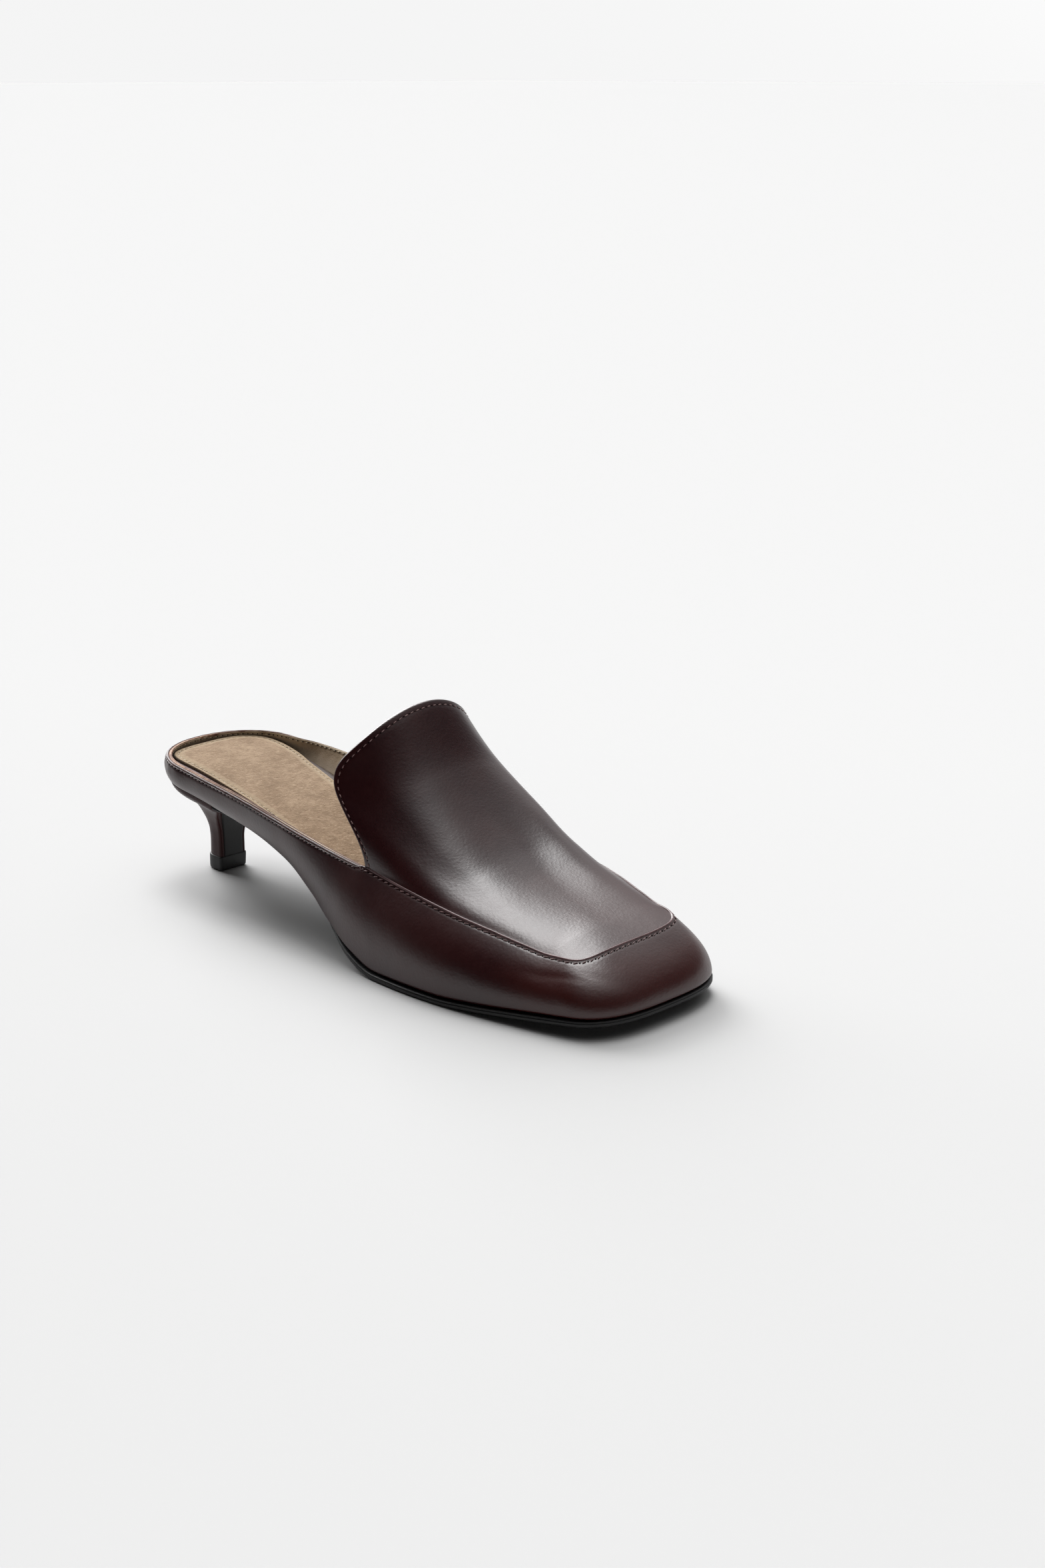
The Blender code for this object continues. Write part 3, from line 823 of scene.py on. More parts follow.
# Sections as (into the wall, down from the top).
FOLDED_STRIP = [
    (0.95, 1.9), (0.22, 1.95), (0.16, 1.60), (0.14, 1.25), (0.16, 0.95), (0.24, 0.72),
    (0.38, 0.56), (0.56, 0.46), (0.74, 0.42), (0.90, 0.46), (1.00, 0.58), (1.02, 0.85),
]
RAW_EDGE = [
    (0.98, 0.95), (1.00, 0.52), (1.08, 0.36), (1.22, 0.26), (1.38, 0.22),
    (1.49, 0.26), (1.57, 0.22), (1.66, 0.08), (1.82, -0.04), (1.98, -0.08),
    (2.12, -0.03), (2.21, 0.10), (2.22, 0.5), (2.21, 1.0), (2.0, 1.1),
]
rear_run = range(MEDIAL_NOTCH - 2, len(stations))


def rim_strip(section):
    """A strip with one section, laid along the quarters' top from notch to notch."""
    rows = []
    for i in rear_run:
        into, up = inward(i)
        top = stations[i].high
        rows.append([top + into * a - up * b for a, b in section])
    return rows


def edge_dye():
    """The strip's red-brown edge dye, brushed on in streaks."""
    made = Shader("edge_dye", Specular_IOR_Level=0.35)
    streak = made.noise(300.0, 3.0, 0.6)
    colour = made.blend(streak.between(0.35, 0.7), (0.020, 0.0038, 0.0030), (0.060, 0.015, 0.010))
    made.set(Base_Color=colour, Roughness=0.42 + streak * 0.2, Normal=made.bump(streak, 0.1, 0.5))
    return made.material


def raw_leather():
    """Undyed leather seen on its edge, stained here and there, duller on the medial side."""
    made = Shader("raw_leather_edge", Specular_IOR_Level=0.3)
    fibre = made.noise(700.0, 4.0, 0.7)
    patch = made.noise(95.0, 4.0, 0.6)
    along, side, _ = made.axes()
    tan = made.blend(fibre.between(0.3, 0.7), (0.170, 0.080, 0.052), (0.400, 0.250, 0.175))
    tan = made.blend(side.between(0.0, 0.022), tan, (0.205, 0.145, 0.095))
    tan = made.blend(along.between(at(42, 0, 0).x, at(78, 0, 0).x) * 0.85, tan, (0.060, 0.020, 0.016))
    dyed = made.blend(patch.between(0.44, 0.62) * 0.8, tan, (0.085, 0.030, 0.022))
    made.set(Base_Color=dyed, Roughness=0.75, Normal=made.bump(fibre, 0.18, 0.8))
    return made.material


def rim_wave(i, j):
    """The strips are cut and laid by hand, so they waver a little."""
    return 0.06 * noise.noise(Vector((i * 0.35, j * 0.2, 3.0)))


piece("rim_fold", lay(rim_strip(FOLDED_STRIP), rim_wave), edge_dye())
piece("rim_edge", lay(rim_strip(RAW_EDGE), rim_wave), raw_leather())

# ---- Apron seam ----------------------------------------------------------------
# The apron's edge is turned over a thin cord and sewn through, so that a smooth
# bead stands up all along the seam, from notch to notch.

BEAD = 0.50                 # its radius
BEAD_IN = 0.20              # its middle lies a little inside and above the wall's edge
BEAD_UP = 0.10
BEAD_SIDES = 12


def bead_leather():
    """The calf over the cord, lighter than the rest of the calf in patches: partly its own paler tone, partly
    a painted highlight along the bead.
    """
    made = Shader("seam_bead_calf", Specular_IOR_Level=0.45)
    patch = made.noise(120.0, 3.0, 0.6)
    # Painted highlight: the bead's colour is lifted above the calf's to show the light line the bead catches,
    # on top of its own paler tone.
    colour = made.blend(patch.between(0.35, 0.7), (0.060, 0.026, 0.027), (0.130, 0.070, 0.072))
    made.set(Base_Color=colour, Roughness=0.32, Normal=made.bump(made.noise(900.0), 0.06, 0.5))
    return made.material


def bead_rows():
    """Rings round the seam line. The bead thins to nothing at each notch."""
    rows = []
    last = MEDIAL_NOTCH
    for i in range(last + 1):
        into, up = inward(min(max(i, 1), last - 1))
        centre = stations[i].high + into * BEAD_IN + up * BEAD_UP
        radius = BEAD * mix(0.25, 1.0, ease(min(i, last - i) / 5))
        ring = []
        for k in range(BEAD_SIDES + 1):
            turn = 2 * math.pi * k / BEAD_SIDES
            ring.append(centre + (up * math.cos(turn) - into * math.sin(turn)) * radius)
        rows.append(ring)
    return rows


piece("seam_bead", lay(bead_rows()), bead_leather())

# ---- Stitching -----------------------------------------------------------------
# Burgundy thread, two and a half millimetres to a stitch: along the rim and the
# seam on the wall, and along the tongue's fold. The thread of the rim and the notch
# locks is a darker copy, with painted shade, and the tongue's a lighter copy, with
# painted light. Each lies askew between two holes, whose dark colour is painted shade.

STITCH = 2.3                # from one hole to the next
SEAM_STITCH = 2.7
TONGUE_STITCH = 2.75
SEAM_SEWN = 0.95            # from the wall's top down to each line of stitches
RIM_SEWN = 1.74
LINING_SEWN = 1.22
wall_far = walk([station.high for station in stations])


def thread(name, colour, light_colour):
    """Waxed thread, lighter along its twist."""
    made = Shader(name, Specular_IOR_Level=0.35, Sheen_Weight=0.2)
    twist = made.noise(1600.0, 2.0, 0.6, (1.0, 1.0, 1.0), 0.5)
    made.set(
        Base_Color=made.blend(twist.between(0.3, 0.7), colour, light_colour), Roughness=0.6,
        Normal=made.bump(twist, 0.12, 0.8),
    )
    return made.material


burgundy_thread = thread("burgundy_thread", (0.080, 0.036, 0.036), (0.230, 0.135, 0.130))
# Painted light: a lighter copy of the burgundy thread, for the tongue's stitches.
lit_tongue_thread = thread("lit_tongue_thread", (0.130, 0.062, 0.058), (0.320, 0.200, 0.190))
# Painted shade: a darker copy of the burgundy thread, for the rim's stitches and the notch locks.
shaded_burgundy_thread = thread("shaded_burgundy_thread", (0.030, 0.010, 0.010), (0.110, 0.050, 0.048))
# Painted shade: each needle hole is a flat dark disc on the face, standing in for the shade inside the hole.
needle_hole_shade = Shader(
    "needle_hole_shade", Base_Color=(0.0035, 0.0012, 0.0012), Roughness=0.9, Specular_IOR_Level=0.1,
).material


def knot(point, along, out, lift, degrees):
    """A stitch or hole: its middle, lifted off the face, its direction, turned askew, and the normal."""
    turned = Matrix.Rotation(math.radians(degrees), 3, out) @ along
    return point + out * lift, turned.normalized(), out


def on_wall(distance, down, lift, degrees):
    """A knot at a distance along the wall's top edge, from the lateral notch round the toe."""
    i, share = place_of(wall_far, distance)
    station = stations[i]
    a, b = (s.point(1 - down / s.length) for s in stations[i:i + 2])
    along = (b - a).normalized()
    up = station.point(1 - (down - 0.5) / station.length) - station.point(1 - (down + 0.5) / station.length)
    return knot(a.lerp(b, share), along, along.cross(up).normalized(), lift, degrees)


def sew(name, knots, size, made):
    """Short threads or holes as one mesh, of a length, breadth and height."""
    mesh = bmesh.new()
    for point, along, out in knots:
        side = out.cross(along).normalized()
        turn = Matrix((along, side, side.cross(along) * -1.0)).transposed().to_4x4()
        grown = Matrix.Diagonal((*(v * MM for v in size), 1.0))
        bmesh.ops.create_uvsphere(
            mesh, u_segments=8, v_segments=5, radius=0.5,
            matrix=Matrix.Translation(at(*point)) @ turn @ grown,
        )
    piece(name, mesh, made, sharp=180)


seam_length = wall_far[MEDIAL_NOTCH]
whole_length = wall_far[-1]
stitches, rim_stitches, holes = [], [], []
for k in range(int((seam_length - 3) / SEAM_STITCH)):
    distance = 1.5 + k * SEAM_STITCH
    stitches.append(on_wall(distance, SEAM_SEWN, 0.08, 21))
    holes.append(on_wall(distance + SEAM_STITCH / 2, SEAM_SEWN - 0.03, 0.02, -30))
for k in range(int((whole_length - seam_length - 3) / STITCH)):
    distance = seam_length + 2.0 + k * STITCH
    rim_stitches.append(on_wall(distance, RIM_SEWN, 0.0, 12))
    holes.append(on_wall(distance + STITCH / 2, RIM_SEWN + 0.08, 0.02, -60))
sew("wall_stitches", stitches, (1.85, 0.36, 0.34), burgundy_thread)
sew("rim_stitches", rim_stitches, (1.5, 0.30, 0.28), shaded_burgundy_thread)
sew("wall_holes", holes, (0.62, 0.50, 0.20), needle_hole_shade)

# A few close stitches lock the seam at each notch.
locks = []
for start, way in ((-1.4, 1), (seam_length - 0.2, -1)):
    for k in range(5):
        distance = (start + way * 0.75 * k) % whole_length
        locks.append(on_wall(distance, SEAM_SEWN + 0.3 * (k % 2), 0.06, 35 if k % 2 else -25))
sew("notch_locks", locks, (1.2, 0.28, 0.26), shaded_burgundy_thread)


def on_line(line, far, distance, out_at, lift, degrees):
    """A knot at a distance along a walked line, with the normal that out_at gives for a step."""
    j, share = place_of(far, distance)
    along = (line[j + 1] - line[j]).normalized()
    return knot(line[j].lerp(line[j + 1], share), along, out_at(j), lift, degrees)


def apron_normal(j):
    return grid_normal(apron_skin, 3, j)


hem = [read_line([row[j] for row in apron_skin], far, HEM) for j, far in enumerate(from_edge)]
hem_far = walk(hem)
stitches, holes = [], []
for k in range(int(hem_far[-1] / TONGUE_STITCH)):
    distance = k * TONGUE_STITCH
    stitches.append(on_line(hem, hem_far, distance + TONGUE_STITCH / 2, apron_normal, 0.02, 6))
    holes.append(on_line(hem, hem_far, distance + 0.25, apron_normal, -0.10, 0))
sew("tongue_stitches", stitches, (1.55, 0.38, 0.34), lit_tongue_thread)
sew("tongue_holes", holes, (0.62, 0.50, 0.2), needle_hole_shade)

taupe_thread = thread("taupe_thread", (0.380, 0.300, 0.200), (0.620, 0.530, 0.400))
# Painted shade: dark discs stand in for the shade inside the lining's needle holes.
lining_hole_shade = Shader("lining_hole_shade", Base_Color=(0.018, 0.011, 0.007), Roughness=0.9).material
stitches, holes = [], []
for k in range(int((whole_length - seam_length - 12) / STITCH)):
    i, _ = place_of(wall_far, seam_length + 6.0 + k * STITCH)
    p, q = (inner_wall(n, LINING_SEWN, WALL + 0.12) for n in (i, i + 1))
    into, _ = inward(i)
    stitches.append((p, (q - p).normalized(), into))
    hole = inner_wall(i, LINING_SEWN, WALL)
    ahead = (q - hole).normalized()
    holes.append((hole.lerp(q, 0.5) + ahead * STITCH / 2, ahead, into))
sew("lining_stitches", stitches, (1.5, 0.42, 0.36), taupe_thread)
sew("lining_holes", holes, (0.7, 0.55, 0.25), lining_hole_shade)

# ---- Footbed -------------------------------------------------------------------
# The footbed board is wrapped in smooth mauve-brown leather, which shows as a strip
# beside the sock. Its edge is slanted like the walls and rounded along the top.

FOOTBED_ROOM = 3.4          # wall, gap and ease
FOOTBED_TOE_ROOM = 1.6
FOOTBED_TIP = 239.0
FOOTBED_SPINE = (26, 205)   # its reach in x: every fill runs towards it
PLATE_STEPS = 60
CAP_STEPS = 18
STRAIGHT_BACK = 12          # a back end wider than this is cut straight across

# A plate's section is given from the middle of its underside round its edge to the
# middle of its top: fills below, edges, fills above. An edge is (inset, height). A
# fill is (share of the way from the nearest edge to the plate's spine, height).
FOOTBED_BELOW = [(1.0, 0.1), (0.5, 0.1)]
FOOTBED_EDGE = [
    (0.6, 0.1), (0.0, 0.7), (0.0, 3.0), (0.0, FOOTBED - 1.1), (0.12, FOOTBED - 0.6),
    (0.42, FOOTBED - 0.2), (0.95, FOOTBED), (2.2, FOOTBED + 0.02),
]
FOOTBED_ABOVE = [(0.5, FOOTBED), (1.0, FOOTBED)]


def plate_stations(lateral, medial, back, first, last, tip, powers):
    """A plate's outline as (x, lateral y, medial y), with rounded ends.

    A back equal to first is cut straight across. Powers say how squarely the back
    end is cut on the lateral and on the medial side.
    """
    # Shares of an end's reach, closer together towards its tip.
    reach = [math.sin(math.pi / 2 * k / CAP_STEPS) for k in range(1, CAP_STEPS)] + [0.9995]
    steps = []
    if back < first:
        steps += [(mix(first, back, share), share, powers) for share in reach[::-1]]
    steps += [(mix(first, last, k / PLATE_STEPS), 0.0, powers) for k in range(PLATE_STEPS + 1)]
    steps += [(mix(last, tip, share), share, (TOE_POWER, TOE_POWER)) for share in reach]
    found = []
    for x, share, squareness in steps:
        middle = (lateral(x) + medial(x)) / 2
        half = (medial(x) - lateral(x)) / 2
        low, high = (half * (1 - share ** p) ** (1 / p) for p in squareness)
        found.append((x, middle - low, middle + high))
    return found


def plate_rows(found, below, edges, above, level, spine, lean=None):
    """Rows round a plate, one at each point of its outline, with a section's steps.

    Level turns x and a height into z. Spine is the reach of the plate's spine in x.
    Lean is how far the edge slants out for each millimetre of height, at x and on
    side -1 or 1.
    """
    outline = [(x, low, -1) for x, low, _ in found] + [(x, high, 1) for x, _, high in found[::-1]]
    count = len(outline)
    cut_back = found[0][2] - found[0][1] > STRAIGHT_BACK
    steps = [(edges[0][0], share, height) for share, height in below]
    steps += [(inset, 0.0, height) for inset, height in edges]
    steps += [(edges[-1][0], share, height) for share, height in above]
    rows = []
    for k in range(count + 1):
        x, y, side = outline[k % count]
        before, after = Vector(outline[k - 1 if k else -1][:2]), Vector(outline[(k + 1) % count][:2])
        if cut_back and k % count == 0:
            before = Vector((x, y))
        if cut_back and k == count - 1:
            after = Vector((x, y))
        along = after - before
        out = Vector((along.y, -along.x)).normalized()
        spine_x = min(max(x, spine[0]), spine[1])
        near = min(found, key=lambda f: abs(f[0] - spine_x))
        centre = Vector((near[0], (near[1] + near[2]) / 2))
        slant = side * lean(x, side) * min(1.0, abs(out.y) * 1.2) if lean else 0.0
        row = []
        for inset, share, height in steps:
            q = Vector((x, y)) - out * inset
            q.y += slant * height
            q = q.lerp(centre, share)
            row.append(Vector((q.x, q.y, level(q.x, height))))
        rows.append(row)
    return rows


def wall_lean(x, side):
    """How far out the wall leans for each millimetre of height, beside the footbed."""
    rear = x < NOTCH
    s = min((NOTCH - x) / (NOTCH - HEEL_CAP) if rear else (x - NOTCH) / (TOE_CAP - NOTCH), 1.0)
    station = side_station(s, side, rear)
    t = 0.0
    while station.point(t).z - station.low.z < FOOTBED:
        t += 0.02
    p = station.point(t)
    return side * (p.y - station.low.y) / (p.z - station.low.z)


LEANS = {
    side: column([(x, wall_lean(x, side)) for x in range(5, 240, 10)], 1) for side in (-1, 1)
}


def footbed_edge(side):
    """The footbed's outline on one side: inside the wall, square to the wall's lean."""
    edge = feather_medial if side > 0 else feather_lateral

    def read(x):
        room = FOOTBED_ROOM + FOOTBED_TOE_ROOM * ease((x - 185) / 45)
        return edge(x) - side * room * math.hypot(1.0, LEANS[side](x))

    return read


footbed_stations = plate_stations(
    footbed_edge(-1), footbed_edge(1), FEATHER[0][0] + FOOTBED_ROOM, HEEL_CAP, TOE_CAP, FOOTBED_TIP,
    (SEAT_POWER, SEAT_POWER),
)


def footbed_leather():
    """Smooth mauve-brown leather, with painted shade on the medial side, where the medial wall shades it."""
    made = Shader("footbed_leather", Specular_IOR_Level=0.28)
    cloud = made.noise(70.0, 3.0, 0.6)
    _, side, _ = made.axes()
    colour = made.blend(cloud.between(0.3, 0.7), (0.150, 0.105, 0.108), (0.240, 0.185, 0.188))
    # Painted shade: the cover is darkened on the medial side, in the shade of the wall and the tongue.
    colour = made.blend(side.between(0.000, 0.014), colour, (0.048, 0.030, 0.024))
    made.set(
        Base_Color=colour, Roughness=0.48 + cloud * 0.12,
        Normal=made.bump(made.noise(1100.0, 3.0, 0.6), 0.08, 0.5),
    )
    return made.material


def above_feather(x, height):
    return feather_z(x) + height


footbed_rows = plate_rows(
    footbed_stations, FOOTBED_BELOW, FOOTBED_EDGE, FOOTBED_ABOVE, above_feather, FOOTBED_SPINE,
    lambda x, side: LEANS[side](x),
)
piece("footbed_cover", lay(footbed_rows, dist=0.03), footbed_leather(), ["insole"])

# ---- Sock ----------------------------------------------------------------------
# A thin padded sock of taupe suede lies on the footbed, cut in at the waist. It is
# sewn down just inside its edge, and the edge itself is left raw and dark.

SOCK = [
    # x, lateral, medial
    (4.4, -20.4, 24.6),
    (24, -21.2, 24.6),
    (34, -21.4, 23.6),
    (45, -21.6, 21.2),
    (57, -21.6, 19.4),
    (66, -21.7, 18.0),
    (76, -22.2, 16.8),
    (88, -23.4, 16.3),
    (102, -26.4, 17.4),
    (118, -31.6, 20.8),
    (132, -35.8, 25.0),
    (148, -38.4, 28.8),
    (165, -39.2, 33.0),
    (180, -38.8, 35.6),
    (195, -36.2, 36.2),
    (210, -32.4, 35.2),
    (222, -28.8, 33.2),
    (237, -23.6, 29.6),
]
SOCK_POWERS = (4.2, 2.8)
SOCK_LOW = FOOTBED + 0.15
SOCK_TOP = FOOTBED + 1.45
SOCK_STITCH = 2.6
SOCK_SPINE = (34, 205)
SOCK_EDGE = [(0.9, SOCK_LOW), (0.10, SOCK_LOW), (0.0, SOCK_LOW + 0.35)] + [
    (inset, SOCK_TOP + height) for inset, height in (
        (0.02, -0.62), (0.12, -0.36), (0.35, -0.18), (0.7, -0.12), (1.1, -0.13), (1.4, -0.24),
        (1.7, -0.38), (2.0, -0.22), (2.6, -0.02), (3.8, 0.10),
    )
]
SOCK_ABOVE = [(k / 10, SOCK_TOP + 0.10 + 0.16 * math.sin(math.pi * k / 20)) for k in range(1, 11)]
SOCK_FACE = 4               # the first step of a row that shows from above
SOCK_SEWN = 10              # the step that the stitches lie in


def suede():
    """Napped suede: brushed patches of light and dark, and short fibres."""
    made = Shader(
        "taupe_suede", Specular_IOR_Level=0.12, Sheen_Weight=0.35, Sheen_Roughness=0.45,
        Sheen_Tint=(0.9, 0.78, 0.62, 1.0), Roughness=0.95,
    )
    nap = made.noise(60.0, 6.0, 0.62, (1.0, 1.0, 1.0), 0.5)
    mottle = made.noise(330.0, 5.0, 0.75, (1.0, 0.7, 1.0), 0.3)
    fibre = made.noise(1150.0, 4.0, 0.8, (1.0, 0.6, 1.0))
    base = made.blend(nap.between(0.36, 0.64), (0.198, 0.129, 0.078), (0.268, 0.185, 0.118))
    base = made.blend(mottle.between(0.46, 0.62) * 0.40, base, (0.145, 0.089, 0.052))
    base = made.blend((1.0 - mottle.between(0.36, 0.48)) * 0.35, base, (0.345, 0.252, 0.170))
    base = made.blend(fibre.between(0.50, 0.68) * 0.50, base, (0.115, 0.068, 0.038))
    base = made.blend((1.0 - fibre.between(0.30, 0.46)) * 0.45, base, (0.460, 0.355, 0.245))
    raw = made.blend(fibre.between(0.3, 0.7), (0.020, 0.010, 0.0055), (0.085, 0.045, 0.024))
    edge = made.mark("edge")
    base = made.blend((1.0 - edge.between(2.2, 6.0)) * 0.55, base, (0.380, 0.298, 0.202))
    made.set(
        Base_Color=made.blend(edge.between(0.22, 0.42), raw, base),
        Normal=made.bump(fibre * 0.8 + mottle * 1.2 + nap * 1.2, 0.34, 0.9),
    )
    return made.material


sock_stations = plate_stations(
    column(SOCK, 1), column(SOCK, 2), SOCK[0][0], 24, 222, SOCK[-1][0], SOCK_POWERS,
)
sock_rows = plate_rows(
    sock_stations, [(1.0, SOCK_LOW)], SOCK_EDGE, SOCK_ABOVE, above_feather, SOCK_SPINE,
)


def sock_relief(i, j):
    """Unevenness: frayed on the raw edge, soft over the padding."""
    p = sock_rows[i][j]
    if j < SOCK_FACE:
        return 0.10 * noise.noise(p * 0.9)
    return 0.16 * noise.noise(p * 0.09) + 0.05 * noise.noise(p * 0.5)


def sock_edge(i, j):
    """How far in from the sock's edge a point of its face lies, up to its last edge step."""
    if j < SOCK_FACE:
        return 0.0
    return SOCK_EDGE[j - 1][0] if j <= len(SOCK_EDGE) else 9.0


sock = piece(
    "suede_sock", lay(sock_rows, sock_relief, {"edge": sock_edge}, dist=0.03),
    suede(), ["sock"],
)


def straight_up(j):
    return Vector((0, 0, 1))


sock_line = [row[SOCK_SEWN] for row in sock_rows]
sock_far = walk(sock_line)
sand_thread = thread("sand_thread", (0.330, 0.250, 0.165), (0.560, 0.465, 0.340))
# Painted shade: dark discs stand in for the shade inside the sock's needle holes.
sock_hole_shade = Shader("sock_hole_shade", Base_Color=(0.05, 0.032, 0.02), Roughness=0.9).material
stitches, holes = [], []
for k in range(int(sock_far[-1] / SOCK_STITCH)):
    distance = k * SOCK_STITCH
    stitches.append(on_line(sock_line, sock_far, distance + SOCK_STITCH / 2, straight_up, 0.10, 5))
    holes.append(on_line(sock_line, sock_far, distance + 0.1, straight_up, 0.04, 5))
sew("sock_stitches", stitches, (1.75, 0.44, 0.36), sand_thread)
sew("sock_holes", holes, (0.55, 0.5, 0.16), sock_hole_shade)

# ---- Sole ----------------------------------------------------------------------
# A thin black rubber sole is cemented under the forepart and waist, with a fine lip
# along its edge and a faint moulded grain on its tread.

SOLE_THICK = 2.2
SOLE_GAP = 0.3
WAIST_THICK = 0.9           # the sole is thinned and cut in under the waist
WAIST_INSET = 2.4
BREAST_X = 41.0
SOLE_SPINE = (BREAST_X + SOLE_GAP, 215)
SOLE_BELOW = [(1.0, 0.0), (0.75, 0.0), (0.5, 0.0), (0.25, 0.0)]
SOLE_EDGE = [
    (2.6, 0.0), (1.1, 0.0), (0.55, 0.06), (0.18, 0.28), (0.02, 0.62), (0.0, 1.15), (0.06, 1.42), (0.22, 1.50),
    (0.24, 1.62), (0.06, 1.72), (0.0, 1.86), (0.06, 2.02), (0.30, 2.16), (0.9, 2.2), (2.8, 2.2),
]
SOLE_ABOVE = [(0.5, 2.2), (1.0, 2.2)]


def proud(x):
    """How far the sole's edge stands out past the upper."""
    forepart = mix(0.7, 0.3, ease((x - 215) / 30))
    return mix(-WAIST_INSET * ease((x - 38) / 20), forepart, ease((x - 105) / 35))


def sole_level(x, height):
    """The z of a height in the sole's section, which is squeezed where the sole is thin."""
    thick = mix(WAIST_THICK, SOLE_THICK, ease((x - 90) / 50))
    return feather_z(x) - SOLE_GAP - thick * (1 - height / SOLE_THICK)


def black_rubber(name, base, rough):
    """Matte black rubber or resin with a little dust and a fine moulded grain."""
    made = Shader(name, Specular_IOR_Level=0.42)
    dust = made.noise(230.0, 4.0, 0.7)
    fine = made.noise(1900.0, 2.0, 0.6)
    lighter = tuple(c * 2.4 + 0.004 for c in base)
    made.set(
        Base_Color=made.blend(dust.between(0.4, 0.8) * 0.6, base, lighter),
        Roughness=rough + dust * 0.2, Normal=made.bump(fine + dust * 0.5, 0.10, 0.3),
    )
    return made.material


sole_stations = plate_stations(
    lambda x: feather_lateral(x) - proud(x), lambda x: feather_medial(x) + proud(x),
    BREAST_X + SOLE_GAP, BREAST_X + SOLE_GAP, TOE_CAP, FEATHER[-1][0], (SEAT_POWER, SEAT_POWER),
)
sole_rows = plate_rows(
    sole_stations, SOLE_BELOW, SOLE_EDGE, SOLE_ABOVE, sole_level, SOLE_SPINE,
)
sole_rubber = black_rubber("sole_rubber", (0.0085, 0.0085, 0.0088), 0.42)
piece("sole", lay(sole_rows, dist=0.03), sole_rubber, ["outsole"], sharp=60)

# ---- Heel ----------------------------------------------------------------------
# The slim heel is a moulded block wrapped in the upper's calf. Its flat breast is
# covered in matte black, and the wrap's turned edge shows down each side of it.

HEEL_Y = -0.6
HEEL = [
    # z at the seat's middle, back x, breast x, half width, share of the seat's slope
    (6.0, 11.0, 21.0, 6.3, 0.0),
    (12.0, 11.2, 21.0, 6.3, 0.0),
    (16.0, 11.2, 21.3, 6.7, 0.0),
    (20.0, 10.9, 22.4, 8.1, 0.1),
    (24.0, 10.1, 24.8, 10.5, 0.3),
    (28.0, 8.4, 29.0, 13.6, 0.6),
    (31.2, 6.2, 33.2, 17.4, 0.9),
    (34.5, 3.9, 37.4, 22.6, 1.0),
    (36.9, 2.1, 40.0, 25.2, 1.0),
    (38.6, 1.3, 41.0, 26.0, 1.0),
]
HEEL_MIDDLE = 20.0
HEEL_ROWS = 56
BREAST_COLUMNS = 16
CORNER_COLUMNS = 5
FLANK_COLUMNS = 10
BACK_COLUMNS = 44
SIDE_SHARE = 0.35           # of a slice's length is straight, behind the breast
CORNER = 1.1
WRAP_EDGE = 0.26            # radius of the wrap's turned edge
WRAP_SIDES = 8

heel = [column(HEEL, k) for k in range(5)]


def heel_outline(back, breast, half):
    """A level slice, from the breast's lateral corner round by the medial side."""
    side = SIDE_SHARE * (breast - back)
    corner = min(CORNER, side / 2)
    points = [
        (breast, mix(corner - half, half - corner, k / BREAST_COLUMNS)) for k in range(BREAST_COLUMNS + 1)
    ]
    for k in range(1, CORNER_COLUMNS + 1):
        turn = math.pi / 2 * k / CORNER_COLUMNS
        points.append((breast - corner * (1 - math.cos(turn)), half - corner * (1 - math.sin(turn))))
    for k in range(1, FLANK_COLUMNS):
        points.append((mix(breast - corner, breast - side, k / FLANK_COLUMNS), half))
    flank = points[BREAST_COLUMNS + 1:]
    for k in range(BACK_COLUMNS + 1):
        share = 1 - k / BACK_COLUMNS
        points.append(cap(breast - side, back, lambda x: -half, lambda x: half, SEAT_POWER, share))
    points += [(x, -y) for x, y in flank[::-1]]
    return points + points[:1]


def heel_slice(z):
    """The heel's outline at one height, kept inside the seat and sloped with it."""
    back, breast, half, slope = (heel[k](z) for k in (1, 2, 3, 4))
    ring = []
    for x, y in heel_outline(back, breast, half):
        y = min(max(y + HEEL_Y, feather_lateral(x) + 0.5), feather_medial(x) - 0.5)
        height = z + slope * (feather_z(x) - feather_z(HEEL_MIDDLE))
        ring.append(Vector((x, y, min(height, feather_z(x) - 0.25))))
    return ring


heel_levels = [mix(HEEL[0][0], HEEL[-1][0], k / HEEL_ROWS) for k in range(HEEL_ROWS + 1)]
heel_rings = [heel_slice(z) for z in heel_levels]


def closed_columns(rings):
    """The upright lines of a stack of rings, brought to a point in the middle of each end."""
    below, above = (sum(ring[:-1], Vector()) / (len(ring) - 1) for ring in (rings[0], rings[-1]))
    return [[below, *line, above] for line in zip(*rings)]


heel_columns = closed_columns(heel_rings)
heel_calf = calf("heel_calf", OXBLOOD, CHESTNUT, 0.34, 0.22)
piece(
    "heel_cover",
    lay(heel_columns, None, {"edge": lambda i, j: 3.0 if 0 < j < HEEL_ROWS + 1 else 0.0}),
    heel_calf, ["heel"],
)

breast_rows = [
    [p + Vector((0.22, 0, -0.12)) for p in line[1:-1]] for line in heel_columns[1:BREAST_COLUMNS]
]
breast_cover = piece(
    "heel_breast", lay(breast_rows), black_rubber("breast_cover", (0.0080, 0.0078, 0.0080), 0.55),
)
thicken(breast_cover, 0.25)


def wrap_edge(line):
    """Rings along the wrap's turned edge, down one side of the breast."""
    rows = []
    for p, q in zip(line, line[1:]):
        along = (q - p).normalized()
        across = along.cross(Vector((1, 0, 0))).normalized()
        out = across.cross(along)
        turns = [2 * math.pi * k / WRAP_SIDES for k in range(WRAP_SIDES + 1)]
        rows.append([p + (across * math.cos(turn) + out * math.sin(turn)) * WRAP_EDGE for turn in turns])
    return rows


for side, place in (("lateral", 0), ("medial", BREAST_COLUMNS)):
    piece(f"wrap_edge_{side}", lay(wrap_edge(heel_columns[place][1:-1])), heel_calf)

